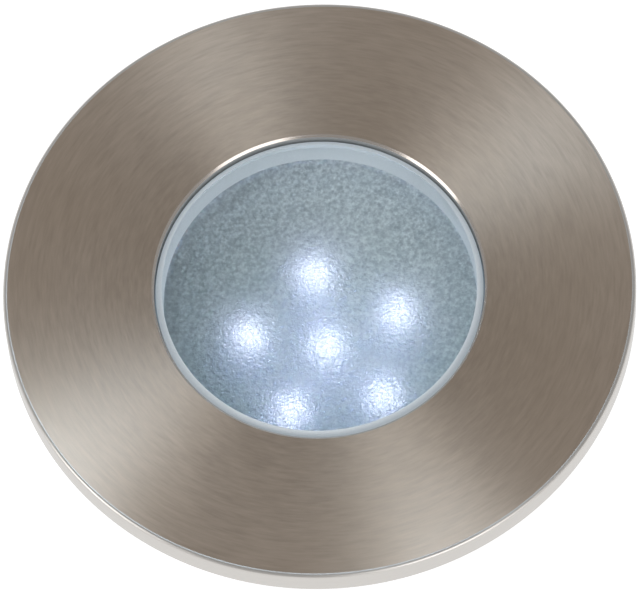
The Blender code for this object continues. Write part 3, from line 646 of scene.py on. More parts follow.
def material(name, colour=(0.5, 0.5, 0.5), roughness=0.5, metallic=0.0, **inputs):
    """A material with a Principled shader and its plain values."""
    made = bpy.data.materials.new(name)
    made.use_nodes = True
    tree = made.node_tree
    shader = tree.nodes["Principled BSDF"]
    feed(tree, shader, Base_Color=(*colour, 1.0), Roughness=roughness, Metallic=metallic, **inputs)
    return made, tree, shader


def show(tree, shader_output):
    """Makes this the material's surface."""
    wire(tree, tree.nodes["Material Output"].inputs["Surface"], shader_output)


def grained(name, dark, pale, tone, low, high,
            gloss=None, relief=None, depth=0.0, strength=0.5, metallic=1.0):
    """A finish from noise. Tone, gloss and relief are each a noise's scale, detail, roughness and stretch.

    The tone runs from dark to pale, and the roughness from low to high, by the tone if no gloss is given."""
    made, tree, shader = material(name, pale, metallic=metallic)
    shade = noise(tree, *tone)
    sheen = noise(tree, *gloss) if gloss else shade
    colour = blend_colours(tree, shade, dark, pale)
    feed(tree, shader, Base_Color=colour, Roughness=swing(tree, sheen, low, high))
    if relief:
        feed(tree, shader, Normal=bump(tree, noise(tree, *relief), depth, strength))
    return made


def brushed_face():
    """Stainless steel brushed in rings: fine and broad strokes, coarser towards the rim, a little stained,
    and painted paler towards the rim as painted light for the fans that grow brighter there.
    """
    made, tree, shader = material("ring_brushed_steel", (0.45, 0.41, 0.36), 0.34, 1.0)
    hair = ring_noise(tree, 12.0, 5600.0, 1.0, 0.5)
    stroke = ring_noise(tree, 8.0, 2300.0, 3.0, 0.6)
    stain = noise(tree, 70.0, 2.0, 0.5)
    # Painted light: the steel's colour is made paler towards the rim.
    painted_rim_light = span(tree, ring_radius(tree), window_radius, face_radius, -0.05, 0.08)
    grooves = calc(tree, "ADD", calc(tree, "MULTIPLY", hair, 0.3), calc(tree, "MULTIPLY", stroke, 0.7))
    tone = swing(tree, calc(tree, "ADD", grooves, painted_rim_light), 0.0, 1.0)
    steel_tone = blend_colours(tree, tone, (0.422, 0.344, 0.278), (0.547, 0.447, 0.362))
    stained = blend_colours(tree, span(tree, stain, 0.35, 0.7, 0.0, 0.35), steel_tone, (0.443, 0.346, 0.26))
    coarse = span(tree, ring_radius(tree), window_radius, face_radius, 0.385, 0.31)
    feed(
        tree, shader,
        Base_Color=stained,
        Roughness=calc(tree, "ADD", coarse, swing(tree, stroke, -0.02, 0.02)),
        Tangent=node(tree, "Tangent", direction_type="RADIAL", axis="Z"),
        Anisotropic=0.97,
        Anisotropic_Rotation=0.25,
        Normal=bump(tree, stroke, 0.000002),
    )
    return made


def turned_edge():
    """The face's rim, left bright by the lathe, and its window edge, painted duller as painted shade, both
    with fine rings.
    """
    made, tree, shader = material("turned_edge_steel", (0.62, 0.59, 0.56), 0.3, 1.0)
    rings = ring_noise(tree, 2.0, 7000.0, 2.0, 0.6)
    bright = blend_colours(tree, rings, (0.53, 0.505, 0.475), (0.645, 0.62, 0.59))
    # Painted shade: the window edge is given a darker colour than the rim.
    dull = blend_colours(tree, rings, (0.46, 0.42, 0.38), (0.56, 0.51, 0.47))
    share = span(tree, ring_radius(tree), window_radius * 1.1, face_radius * 0.9, 0.0, 1.0)
    polish = blend_colours(tree, share, (0.13, 0.13, 0.13), (0.30, 0.30, 0.30))
    feed(
        tree, shader,
        Base_Color=blend_colours(tree, share, dull, bright),
        Roughness=calc(tree, "ADD", polish, swing(tree, rings, 0.0, 0.12)),
        Normal=bump(tree, rings, 0.000006),
    )
    return made


def bored_wall():
    """The wall of the window's hole: satin from the boring tool, in close rings."""
    made, tree, shader = material("bored_steel", (0.57, 0.55, 0.535), 0.6, 1.0)
    rings = ring_noise(tree, 2.0, 9000.0, 2.0, 0.6)
    colour = blend_colours(tree, rings, (0.48, 0.465, 0.45), (0.66, 0.64, 0.62))
    satin = swing(tree, rings, 0.52, 0.7)
    feed(tree, shader, Base_Color=colour, Roughness=satin, Normal=bump(tree, rings, 0.00003))
    return made


def polished_glass():
    """Clear glass, a little smeared, which lets light straight through to what lies behind it."""
    made, tree, shader = material("polished_glass", (0.95, 0.985, 0.99), IOR=1.5, Transmission_Weight=1.0)
    feed(tree, shader, Roughness=span(tree, noise(tree, 260.0, 2.0, 0.6), 0.45, 0.8, 0.0, 0.06))
    clear = node(tree, "BsdfTransparent", (0.93, 0.97, 0.98, 1.0))
    show(tree, shader_mix(tree, node(tree, "LightPath", out="Is Shadow Ray"), shader.outputs[0], clear))
    return made


def ground_glass(name, dark, pale, glow):
    """Ground glass, pale and matt, with a painted glow that stands in for the lamps' light in it."""
    made, tree, shader = material(name, pale, 0.6, Emission_Strength=glow)
    grain = noise(tree, 5200.0, 2.0, 0.6)
    feed(
        tree, shader,
        Base_Color=blend_colours(tree, grain, dark, pale),
        # Painted glow: the glass emits light of its own, though it is no lamp.
        Emission_Color=(0.66, 0.86, 1.0, 1.0),
        Normal=bump(tree, grain, 0.00001, 0.3),
    )
    return made


def frosted_glass():
    """The blasted underside of the glass: grains that scatter the lamps' light, over a milky veil."""
    made, tree, shader = material("frosted_glass", (0.88, 0.94, 1.0), 0.34, IOR=1.5, Transmission_Weight=1.0)
    grit = node(tree, "TexVoronoi", sockets={"Vector": object_place(tree), "Scale": 4600.0}, out="Color")
    cloud = span(tree, noise(tree, 2300.0, 3.0, 0.7), 0.36, 0.64, 0.0, 0.6)
    grain = calc(tree, "ADD", cloud, calc(tree, "MULTIPLY", grit, 0.4))
    relief = bump(tree, noise(tree, 2600.0, 2.0, 0.6), 0.00012)
    # Painted shade: the veil's colour runs darker towards -X, the left of the frost, standing in for shade
    # there.
    across = parts_of(tree, object_place(tree))[0]
    painted_light_share = span(tree, across, -frost_radius, frost_radius * 0.1, 0.0, 1.0)
    shaded_veil = blend_colours(tree, grain, (0.19, 0.225, 0.24), (0.58, 0.64, 0.66))
    lit_veil = blend_colours(tree, grain, (0.36, 0.417, 0.438), (0.93, 0.985, 0.99))
    feed(tree, shader, Normal=relief)
    halo = node(tree, "BsdfRefraction", (0.73, 0.75, 0.86, 1.0), 0.8, 1.5, sockets={"Normal": relief})
    veil = node(tree, "BsdfDiffuse", blend_colours(tree, painted_light_share, shaded_veil, lit_veil))
    glass = shader_mix(tree, 0.45, shader.outputs[0], halo)
    show(tree, shader_mix(tree, span(tree, grain, 0.0, 1.0, 0.66, 0.84), glass, veil))
    return made


def clear_epoxy():
    """A lamp's clear bluish body, with faint clouds in the resin."""
    made, tree, shader = material("clear_epoxy", (0.62, 0.70, 0.90), 0.08, Alpha=0.3, Emission_Strength=1.2)
    cloud = noise(tree, 900.0, 2.0, 0.5)
    resin = blend_colours(tree, cloud, (0.55, 0.64, 0.90), (0.72, 0.79, 0.95))
    feed(tree, shader, Base_Color=resin, Emission_Color=(0.25, 0.34, 1.0, 1.0))
    return made


def lamp_light():
    """The glow of the chip in the resin, a little uneven."""
    made, tree, shader = material("lamp_light", (0.9, 0.93, 1.0), Emission_Strength=21.5)
    cloud = noise(tree, 1500.0, 2.0, 0.5)
    feed(tree, shader, Emission_Color=blend_colours(tree, cloud, (0.81, 0.845, 1.0), (0.91, 0.905, 1.0)))
    return made


def tinned_wire():
    return grained("tinned_wire", (0.54, 0.54, 0.53), (0.74, 0.74, 0.73), (1800.0, 3.0, 0.6), 0.24, 0.44)


def plain_brass():
    return grained("plain_brass", (0.60, 0.43, 0.18), (0.84, 0.67, 0.34), (900.0, 4.0, 0.65), 0.22, 0.42)


def board_lacquer():
    """Green lacquer over woven glass, raised where a copper ring joins the lamps."""
    made, tree, shader = material("board_lacquer", (0.02, 0.16, 0.07), 0.34)
    sockets = {"Vector": object_place(tree), "Scale": 3000.0, "Distortion": 1.2}
    weave = node(tree, "TexMagic", sockets=sockets, out="Fac")
    cloth = blend_colours(tree, weave, (0.016, 0.13, 0.055), (0.03, 0.20, 0.09))
    off_track = calc(tree, "ABSOLUTE", calc(tree, "SUBTRACT", ring_radius(tree), lamp_circle))
    track = span(tree, off_track, track_half * 0.9, track_half, 1.0, 0.0)
    colour = blend_colours(tree, track, cloth, (0.05, 0.26, 0.10))
    feed(tree, shader, Base_Color=colour, Normal=bump(tree, track, 0.00003))
    return made


def banded_lacquer():
    """A resistor's lacquer, with its rings of colour along X."""
    made, tree, shader = material("banded_lacquer", (0.20, 0.45, 0.62), 0.36)
    across = parts_of(tree, object_place(tree))[0]
    film = noise(tree, 1500.0, 2.0, 0.5)
    colour = blend_colours(tree, film, (0.16, 0.40, 0.57), (0.24, 0.50, 0.67))
    for share, band in ((-0.68, (0.30, 0.09, 0.03)), (-0.35, (0.02, 0.02, 0.02)), (0.0, (0.55, 0.05, 0.04)),
                        (0.68, (0.60, 0.42, 0.12))):
        off = calc(tree, "ABSOLUTE", calc(tree, "SUBTRACT", across, share * resistor_half))
        colour = blend_colours(tree, span(tree, off, band_half * 0.9, band_half, 1.0, 0.0), colour, band)
    feed(tree, shader, Base_Color=colour, Roughness=swing(tree, film, 0.3, 0.44))
    return made


def moulded(name, dark, pale, roughness):
    """A plain moulded finish with a fine grain and dull patches."""
    return grained(name, dark, pale, (420.0, 3.0, 0.6), roughness - 0.08, roughness + 0.08,
                   relief=(5000.0, 2.0, 0.6), depth=0.00002, metallic=0.0)


def moulded_nylon():
    """Glass-filled nylon: nearly black, fine grain, faint flow marks and dull patches."""
    made, tree, shader = material("moulded_nylon", (0.03, 0.03, 0.032), 0.46)
    grain = noise(tree, 6500.0, 2.0, 0.6)
    fibre = noise(tree, 4200.0, 3.0, 0.7, stretch=(1.0, 1.0, 0.3))
    fleck = span(tree, fibre, 0.5, 0.8, 0.0, 1.0)
    feed(
        tree, shader,
        Base_Color=blend_colours(tree, fleck, (0.028, 0.028, 0.030), (0.050, 0.049, 0.049)),
        Roughness=swing(tree, noise(tree, 160.0, 3.0, 0.6), 0.38, 0.58),
        Normal=bump(tree, calc(tree, "ADD", grain, fibre), 0.00003, 0.5),
    )
    return made


def silicone():
    """Pale silicone, a little milky."""
    made, tree, shader = material("pale_silicone", (0.74, 0.80, 0.82), Subsurface_Weight=0.2)
    film = noise(tree, 900.0, 3.0, 0.6)
    feed(
        tree, shader,
        Roughness=swing(tree, film, 0.42, 0.6),
        Subsurface_Scale=0.0006,
        Normal=bump(tree, film, 0.00002, 0.4),
    )
    return made


def foam():
    """Closed-cell foam: small round cells, some of them cut open."""
    made, tree, shader = material("foam_rubber", (0.03, 0.03, 0.03), 0.9)
    cells = node(tree, "TexVoronoi", sockets={"Vector": object_place(tree), "Scale": 3800.0}, out="Distance")
    tone = span(tree, cells, 0.1, 0.6, 0.0, 1.0)
    colour = blend_colours(tree, tone, (0.014, 0.014, 0.015), (0.05, 0.05, 0.052))
    feed(tree, shader, Base_Color=colour, Normal=bump(tree, cells, 0.00012, 0.8))
    return made


def rubber():
    """Black rubber with a grey bloom."""
    bloom = (520.0, 4.0, 0.65)
    return grained("black_rubber", (0.014, 0.014, 0.014), (0.045, 0.045, 0.046), bloom, 0.62, 0.85,
                   relief=bloom, depth=0.00003, strength=0.4, metallic=0.0)


def turned_steel():
    """Plain stainless from a screw machine, with fine tool marks and handling scratches."""
    return grained("turned_steel", (0.48, 0.475, 0.465), (0.68, 0.675, 0.665), (700.0, 4.0, 0.65), 0.22, 0.42,
                   relief=(5600.0, 2.0, 0.6), depth=0.000008)


def rolled_steel():
    """Spring strip: a long rolling grain, greyer than the face, with dull spots."""
    grain = (900.0, 4.0, 0.7, (1.0, 9.0, 1.0))
    return grained("rolled_spring_steel", (0.36, 0.365, 0.37), (0.60, 0.605, 0.61), grain, 0.24, 0.44,
                   gloss=(420.0, 3.0, 0.6), relief=grain, depth=0.00001)


def drawn_wire():
    """Spring wire with the long marks of the die."""
    film, draw = (800.0, 3.0, 0.6), (2600.0, 3.0, 0.6, (0.4, 5.0, 0.4))
    return grained("drawn_spring_wire", (0.34, 0.335, 0.33), (0.58, 0.58, 0.575), film, 0.2, 0.36,
                   gloss=draw, relief=draw, depth=0.000006)


# The steel face and the glass


def make_face():
    """A turned ring: chamfered window, rounded rim, blind screw holes underneath."""
    lip_under = face_top - lip_thickness
    profile = [
        (window_radius, lip_under),
        (window_radius, face_top - window_chamfer),
        (window_radius + window_chamfer, face_top),
        *arc((face_radius - edge_round, face_top - edge_round), edge_round, 90.0, 0.0, 6),
        (face_radius, face_under + under_chamfer),
        (face_radius - under_chamfer, face_under),
        (counterbore_radius, face_under),
        (counterbore_radius, lip_under),
    ]
    face = lathe("steel_face", profile, fine, ring=True)
    for degrees in screw_angles:
        hole = peg(screw_shank + screw_clearance, face_under - overrun, face_under + tapped_depth, drilled)
        cut(face, put(hole, around(degrees, screw_circle)))
    dress(smooth(face), brushed_face(), turned_edge(), bored_wall())
    for polygon in face.data.polygons:
        in_hole = polygon.center.xy.length < window_radius + window_chamfer / 4
        polygon.material_index = 0 if polygon.normal.z > level_share else 2 if in_hole else 1
    belongs(face, "bezel")


def make_glass():
    """A stepped glass: polished on top, ground at its bevel and side, blasted underneath."""
    profile = [
        (lens_radius - lens_bevel, lens_top),
        (lens_radius, lens_top - lens_bevel),
        (lens_radius, lens_shoulder),
        (lens_rim - lens_chamfer, lens_shoulder),
        (lens_rim, lens_shoulder - lens_chamfer),
        (lens_rim, lens_under + lens_chamfer),
        (lens_rim - lens_chamfer, lens_under),
        (frost_radius, lens_under),
    ]
    glass = lathe("glass_lens", profile, fine)
    # The side and bevel glow by painted light, for the lamps' light in the glass.
    side = ground_glass("ground_glass_side", (0.72, 0.73, 0.745), (0.82, 0.835, 0.85), 0.08)
    bevel = ground_glass("ground_glass_bevel", (0.70, 0.725, 0.745), (0.81, 0.835, 0.855), 0.12)
    dress(glass, polished_glass(), side, frosted_glass(), bevel)
    for face in glass.data.polygons:
        middle = face.center
        if middle.z > lens_top - lens_bevel / 4:
            face.material_index = 0
        elif middle.z > lens_top - lens_bevel:
            face.material_index = 3
        elif middle.z < lens_under + lens_chamfer / 4 and middle.xy.length < frost_radius:
            face.material_index = 2
        else:
            face.material_index = 1
    belongs(smooth(glass), "lens")


# The lamps


def lamp_places():
    """Each lamp's node, its place and the turn of its leads, which lie across the ring's radius."""
    for name in ("led_centre", "led_ring_1", "led_ring_2", "led_ring_3", "led_ring_4", "led_ring_5"):
        across, along = middle_of(name)
        turn = math.atan2(along, across) + math.pi / 2 if name != "led_centre" else 0.0
        yield name, across, along, turn


def make_lamp():
    """One round-nosed lamp at the centre, with its flange and two leads, and the chip that glows in it."""
    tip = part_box("led_centre")[1].z
    profile = [
        (lamp_flange, lamp_base),
        (lamp_flange, lamp_base + lamp_flange_height),
        (lamp_radius, lamp_base + lamp_flange_height),
        *arc((0.0, tip - lamp_radius), lamp_radius, 0.0, 84.0, 10),
        (0.0, tip),
    ]
    lamp = lathe("lamp", profile, small)
    lead_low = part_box("led_centre")[0].z
    for sign in (-1, 1):
        lead = peg(lamp_lead / 2, lead_low, lamp_base + lamp_flange_height / 2, thin)
        join(lamp, put(lead, at(sign * lamp_lead_pitch / 2)))
    middle = tip - chip_depth
    glow = [
        (chip_radius * 0.05, middle - chip_radius),
        *arc((0.0, middle), chip_radius, -84.0, 84.0, 22),
        (0.0, middle + chip_radius),
    ]
    chip = put(lathe("chip", glow, small), at(chip_offset))
    dress(smooth(lamp), clear_epoxy(), tinned_wire(), lamp_light())
    for face in lamp.data.polygons:
        face.material_index = 1 if face.center.z < lamp_base - weld_distance else 0
    return lamp, smooth(chip)


def make_lamps():
    """Six lamps, each with its own chip."""
    first, chip = make_lamp()
    for name, across, along, turn in lamp_places():
        place = at(across, along)
        lamp = copy_of(first, name.replace("led", "lamp"), place @ Matrix.Rotation(turn, 4, "Z"))
        glow = dress(copy_of(chip, "glow", place), lamp.data.materials[2])
        belongs(gather(lamp, glow), name)
    discard(first, chip)


# The board under the lamps


def make_board():
    """A round glass-fibre board, drilled for the lamps, its screws and what hangs under it."""
    profile = [
        (board_radius - board_edge, board_high),
        (board_radius, board_high - board_edge),
        (board_radius, board_low + board_edge),
        (board_radius - board_edge, board_low),
    ]
    board = lathe("lamp_board", profile, medium)
    holes = []
    for _, across, along, turn in lamp_places():
        for reach in (-lamp_lead_pitch / 2, lamp_lead_pitch / 2):
            holes.append((across + reach * math.cos(turn), along + reach * math.sin(turn), lamp_lead / 2))
    for sign, terminal_screw in ((-1, "terminal_screw_1"), (1, "terminal_screw_2")):
        for name in ("resistor_1", "resistor_2"):
            holes.append((sign * resistor_pitch / 2, middle_of(name)[1], resistor_lead / 2))
        holes.append((*middle_of(terminal_screw), terminal_pin))
    for degrees in screw_angles:
        place = around(degrees, board_screw_circle).translation
        holes.append((place.x, place.y, board_screw_shank))
    for across, along, radius in holes:
        drill = peg(radius + hole_gap, board_low - overrun, board_high + overrun, drilled)
        cut(board, put(drill, at(across, along)))
    belongs(dress(smooth(board), board_lacquer()), "led_board")


def driver_slot(radius, low, high):
    """A tool for the slot across a screw's head."""
    return box((-radius * 2, -slot_half, low), (radius * 2, slot_half, high))


def place_screws(screw, circle, node_name):
    """Puts a copy of the screw at each of its three places."""
    for number, degrees in enumerate(screw_angles, start=1):
        placed = copy_of(screw, f"{screw.name}_{number}", around(degrees, circle))
        belongs(placed, f"{node_name}_{number}")
    discard(screw)


def make_board_screws():
    """Slotted pan-head screws through the board into the bosses."""
    low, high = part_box("board_screw_1")
    head = (high.x - low.x) / 2
    under = high.z - board_screw_head
    crown = board_screw_head / 3
    profile = [
        (board_screw_shank - thread_point, low.z),
        *reversed(column(board_screw_shank, under, low.z + thread_point, screw_pitch)),
        (head, under),
        *arc((head - crown, high.z - crown), crown, 0.0, 90.0, 5),
    ]
    screw = lathe("board_fixing", profile, small)
    wind_thread(screw, board_screw_shank, low.z, under, screw_pitch, board_thread_depth)
    cut(screw, driver_slot(head, high.z - slot_depth, high.z + overrun))
    dress(smooth(screw), turned_steel())
    place_screws(screw, board_screw_circle, "board_screw")


def make_resistors():
    """Barrels with swollen ends, on leads that bend up through the board."""
    low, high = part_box("resistor_1")
    waist = resistor_bulb - resistor_lead / 2
    middle = low.z + resistor_bulb
    half, end = resistor_half, resistor_lead
    profile = [
        *arc((waist - end, half - end), end, 90.0, 45.0, 3),
        *arc((resistor_bulb - end * 1.5, half - end * 2), end * 1.5, 40.0, -40.0, 8),
        (waist, half - end * 4),
        (waist, -half + end * 4),
        *arc((resistor_bulb - end * 1.5, -half + end * 2), end * 1.5, 40.0, -40.0, 8),
        *arc((waist - end, -half + end), end, -45.0, -90.0, 3),
    ]
    barrel = put(lathe("barrel", profile, small), lying)
    reach, bend = resistor_pitch / 2, leg_bend
    route = [
        (-reach, high.z - middle),
        *arc((-reach + bend, bend), bend, 180.0, 270.0, 8),
        *arc((reach - bend, bend), bend, -90.0, 0.0, 8),
        (reach, high.z - middle),
    ]
    lead = dress(tube("lead", [(across, 0.0, up) for across, up in route], resistor_lead / 2), tinned_wire())
    gather(dress(smooth(barrel), banded_lacquer()), lead)
    for name in ("resistor_1", "resistor_2"):
        placed = copy_of(barrel, f"banded_{name}", at(0.0, middle_of(name)[1], middle))
        belongs(placed, name)
    discard(barrel)


def make_rectifier():
    """A small moulded bridge, its sides drawn in above and below the legs."""
    low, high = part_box("bridge_rectifier")
    across, along = high.x - bridge_leg_reach, (high.y - low.y) / 2
    inner, top = across - bridge_draft, board_low - under_board
    middle = (top + low.z) / 2
    outline = [
        (-inner, low.z), (inner, low.z), (across, middle),
        (inner, top), (-inner, top), (-across, middle),
    ]
    body = soften(put(plate(outline, -along, along), upright), bridge_edge)
    leg = [
        (across - bridge_draft * 2, middle - leg_steel),
        *arc((high.x - leg_steel * 3, middle + leg_steel * 2), leg_steel * 3, -90.0, 0.0, 5),
        (high.x, high.z),
        (high.x - leg_steel * 2, high.z),
        (high.x - leg_steel * 2, middle + leg_steel * 2),
        (high.x - leg_steel * 3, middle + leg_steel),
        (across - bridge_draft * 2, middle + leg_steel),
    ]
    dress(smooth(body), moulded("black_epoxy", (0.02, 0.02, 0.02), (0.035, 0.035, 0.036), 0.5))
    metal = tinned_wire()
    legs = []
    for turn in (0.0, math.pi):
        for place in (-legs_pitch / 2, legs_pitch / 2):
            strip = plate(leg, place - leg_half, place + leg_half)
            put(strip, Matrix.Rotation(turn, 4, "Z") @ upright)
            legs.append(dress(smooth(strip), metal))
    gather(body, *legs).name = "moulded_bridge"
    belongs(put(body, at(0.0, (low.y + high.y) / 2)), "bridge_rectifier")


def make_terminal():
    """A two-way screw terminal with its wire entries at the side and its screws facing down."""
    low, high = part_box("terminal_block")
    top = board_low - under_board
    body = soften(box(low, (high.x, high.y, top)), terminal_edge, 3)
    rib_low = (-terminal_rib_half, low.y - terminal_rib_rise, low.z + terminal_rib_inset)
    rib_high = (terminal_rib_half, low.y + weld, top - terminal_rib_inset)
    join(body, soften(box(rib_low, rib_high), terminal_rib_edge))
    pins = []
    for across in (-terminal_pitch / 2, terminal_pitch / 2):
        place = at(across, (low.y + high.y) / 2)
        cut(body, put(peg(terminal_well, low.z - overrun, low.z + terminal_well_depth, well_sides), place))
        entry = put(peg(terminal_entry, -overrun, terminal_entry_depth, well_sides), upright)
        cut(body, put(entry, at(across, high.y, top - terminal_entry_fall)))
        pin = put(peg(terminal_pin, top - terminal_pin_embed, high.z, thin), place)
        pins.append(dress(pin, tinned_wire()))
    dress(smooth(body), moulded("terminal_nylon", (0.03, 0.30, 0.10), (0.05, 0.40, 0.14), 0.42))
    gather(body, *pins).name = "wire_terminal"
    belongs(body, "terminal_block")


def make_terminal_screws():
    """Slotted brass screws, heads down, in the terminal's wells."""
    brass = plain_brass()
    for number in (1, 2):
        name = f"terminal_screw_{number}"
        low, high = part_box(name)
        radius = (high.x - low.x) / 2
        crown = radius * 0.2
        profile = [(radius, high.z), *arc((radius - crown, low.z + crown), crown, 0.0, -90.0, 5)]
        screw = lathe(f"brass_screw_{number}", profile, small)
        cut(screw, driver_slot(radius, low.z - overrun, low.z + slot_depth))
        put(screw, at(*middle_of(name)))
        belongs(dress(smooth(screw), brass), name)


# The seal and the gasket


def make_seal():
    """A U-section ring round the glass's flange, with two thin lips that bear on the housing."""
    groove = lens_rim + gap
    upper = lens_radius + gap
    soft = seal_edge
    lip = gap / 2
    profile = [
        (upper, seal_top - seal_leg),
        (upper, seal_top - soft),
        (upper + soft, seal_top),
        *arc((seal_outside - soft * 2, seal_top - soft * 2), soft * 2, 90.0, 0.0, 4),
    ]
    for height in (seal_top - seal_leg * 2, seal_low + seal_leg * 2):
        profile += [
            (seal_outside, height + lip * 2),
            (seal_outside + lip, height),
            (seal_outside, height - lip * 2),
        ]
    profile += [
        *arc((seal_outside - soft * 2, seal_low + soft * 2), soft * 2, 0.0, -90.0, 4),
        (frost_radius + soft, seal_low),
        (frost_radius, seal_low + soft),
        (frost_radius, seal_low + seal_leg),
        (groove, seal_low + seal_leg),
        (groove, seal_top - seal_leg),
    ]
    seal = dress(smooth(lathe("glass_seal", profile, fine, ring=True)), silicone())
    belongs(seal, "lens_seal")


def make_gasket():
    """A foam ring, a little crushed at its edges."""
    soft = (gasket_high - gasket_low) * 0.35
    profile = []
    for radius, height, start in (
        (gasket_outside - soft, gasket_high - soft, 90.0),
        (gasket_outside - soft, gasket_low + soft, 0.0),
        (gasket_inside + soft, gasket_low + soft, -90.0),
        (gasket_inside + soft, gasket_high - soft, -180.0),
    ):
        profile += arc((radius, height), soft, start, start - 90.0, 5)
    gasket = dress(smooth(lathe("foam_gasket", profile, fine, ring=True)), foam())
    belongs(gasket, "deck_gasket")


# The housing


def hinge_place(side):
    """The middle of the pin on the side at this angle, with X out of the body and Y along the pin."""
    return around(side, pin_reach, pin_height)


def body_at(height):
    """The body's outer radius, which narrows on the way down."""
    return body_radius - body_draft * (body_top - height) / (body_top - shoulder_low)


def shell():
    """The moulded body: flange, collar, tapered wall, shoulder and lower chamber, hollow inside."""
    inner_top = ledge_low - (body_inside - port_radius)
    outer = [
        (mouth_radius, flange_top),
        *arc((flange_radius - flange_soft, flange_top - flange_soft), flange_soft, 90.0, 0.0, 5),
        *arc((flange_radius - flange_soft, flange_low + flange_soft), flange_soft, 0.0, -90.0, 5),
        *arc((collar_radius + root_soft, flange_low - root_soft), root_soft, 90.0, 180.0, 4),
        (collar_radius, ledge_low + root_soft / 2),
        (collar_radius - root_soft / 4, ledge_low - root_soft / 4),
        (body_radius + root_soft / 4, body_top + root_soft / 4),
        (body_radius, body_top - root_soft / 2),
        *arc((body_radius - body_draft - step_soft, shoulder_low + step_soft), step_soft, 0.0, -90.0, 6),
        *arc((chamber_radius + root_soft, shoulder_low - root_soft), root_soft, 90.0, 180.0, 4),
        *arc((chamber_radius - chamber_draft - step_soft, chamber_low + step_soft), step_soft, 0.0, -90.0, 6),
        (gland_hole, chamber_low),
    ]
    inner = [
        (gland_hole, chamber_floor + boss_rise),
        (boss_radius, chamber_floor + boss_rise),
        (boss_radius, chamber_floor),
        (chamber_inside - chamber_draft, chamber_floor),
        (chamber_inside, shoulder_top),
        (body_inside - body_draft, shoulder_top),
        (body_inside, inner_top),
        (port_radius, ledge_low),
        (port_radius, seat_height),
        (mouth_radius, seat_height),
    ]
    return lathe("moulded_housing", outer + inner, shell_sides, ring=True)


def gusset(degrees):
    """A radial rib between the flange and the body."""
    root = body_radius - weld
    outline = [
        (collar_radius - weld, flange_low + weld),
        (flange_radius - gusset_inset, flange_low + weld),
        (flange_radius - gusset_inset, flange_low - gusset_half * 2),
        (body_radius + gusset_half / 2, flange_low - gusset_height + gusset_half),
        (body_radius, flange_low - gusset_height),
        (root, flange_low - gusset_height),
        (root, body_top),
    ]
    rib = soften(plate(outline, -gusset_half, gusset_half), gusset_half / 3)
    return put(rib, around(degrees) @ upright)


def lug(side, near):
    """One of the pair of ears that carry a clip's pin."""
    root = body_at(pin_height) - pin_reach - lug_embed
    outline = [(root, lug_rise), *arc((0.0, 0.0), lug_radius, 70.0, -80.0, 24), (root, -lug_fall)]
    low, high = (lug_inside, lug_outside) if near else (-lug_outside, -lug_inside)
    ear = soften(plate(outline, low, high, holes=[round_hole(pin_bore)]), lug_edge)
    return put(ear, hinge_place(side) @ upright)


def stop(side, near):
    """A ramp on the body that the standing arm rests on."""
    rest = math.radians(rest_angle)
    along = Vector((math.cos(rest), math.sin(rest)))
    away = Vector((-math.sin(rest), math.cos(rest)))
    heel = away * (web_outside + gap) - along * stop_heel
    toe = away * (web_outside + gap) + along * stop_toe
    root = body_at(pin_height) - pin_reach - weld
    outline = [(root, heel.y - stop_heel), tuple(heel), tuple(toe), (root, toe.y + stop_rise)]
    middle = stop_place if near else -stop_place
    ramp = soften(plate(outline, middle - stop_half, middle + stop_half), stop_edge)
    return put(ramp, hinge_place(side) @ upright)


def anchor(side):
    """The pad that the spring's fixed leg is held in."""
    root = body_at(pin_height) - pin_reach - weld
    middle = -coil_length / 2
    low = (root, middle - anchor_half, -fixed_leg_fall - anchor_half)
    high = (anchor_face, middle + anchor_half, -fixed_leg_fall + anchor_half)
    return put(soften(box(low, high), lug_edge), hinge_place(side))


def anchor_bore(side):
    """The drill for the spring's fixed leg."""
    drill = peg(anchor_hole, anchor_face - anchor_depth, anchor_face + overrun, drilled)
    return put(drill, hinge_place(side) @ (at(0.0, -coil_length / 2, -fixed_leg_fall) @ lying))


def make_housing():
    """The shell with all that is moulded on it, drilled for the screws and the springs' legs."""
    housing = shell()
    for degrees in gusset_angles:
        join(housing, gusset(degrees))
    for degrees in screw_angles:
        boss = soften(peg(board_boss, board_boss_low, shoulder_low + weld), board_boss_edge, 3)
        join(housing, put(boss, around(degrees, board_screw_circle)))
    for side in (0.0, 180.0):
        for near in (False, True):
            join(housing, lug(side, near), stop(side, near))
        join(housing, anchor(side))
        cut(housing, anchor_bore(side))
    for degrees in screw_angles:
        hole = peg(screw_shank + flange_hole_gap, flange_low - overrun, flange_top + overrun)
        cut(housing, put(hole, around(degrees, screw_circle)))
        bore = peg(board_screw_shank, board_boss_low + weld, shoulder_top + overrun, drilled)
        cut(housing, put(bore, around(degrees, board_screw_circle)))
    belongs(dress(smooth(housing), moulded_nylon()), "housing")


# The screws that hold the housing


def make_screws():
    """Pan-head screws, heads down, with a hexagon socket and a rolled thread."""
    head_top = flange_low - gap
    head_low = head_top - screw_head_height
    shank_top = face_under + tapped_depth - gap
    crown = screw_head_height * 0.45
    profile = [
        (screw_shank - thread_point, shank_top),
        *column(screw_shank, shank_top - thread_point, head_top, screw_pitch),
        (screw_head - screw_edge, head_top),
        (screw_head, head_top - screw_edge),
        *arc((screw_head - crown, head_low + crown), crown, 0.0, -90.0, 6),
    ]
    screw = lathe("face_screw", profile, small)
    wind_thread(screw, screw_shank, head_top, shank_top - thread_end, screw_pitch, thread_depth)
    cut(screw, hexagon(screw_shank * 0.6, head_low - overrun, head_low + screw_head_height / 2))
    dress(smooth(screw), turned_steel())
    place_screws(screw, screw_circle, "bezel_screw")


# The cable gland


def gland_hexagon():
    """The gland's six-sided collar, its corners turned off at both ends."""
    corner = gland_flats / math.cos(math.pi / 6)
    low, high = gland_collar_low, gland_collar_top
    disc = [
        (corner - gland_corner * 2, high),
        (corner + corner_gap, high - gland_corner),
        (corner + corner_gap, low + gland_corner),
        (corner - gland_corner * 2, low),
    ]
    return work(hexagon(gland_flats, low, high), "INTERSECT", lathe("disc", disc, medium))


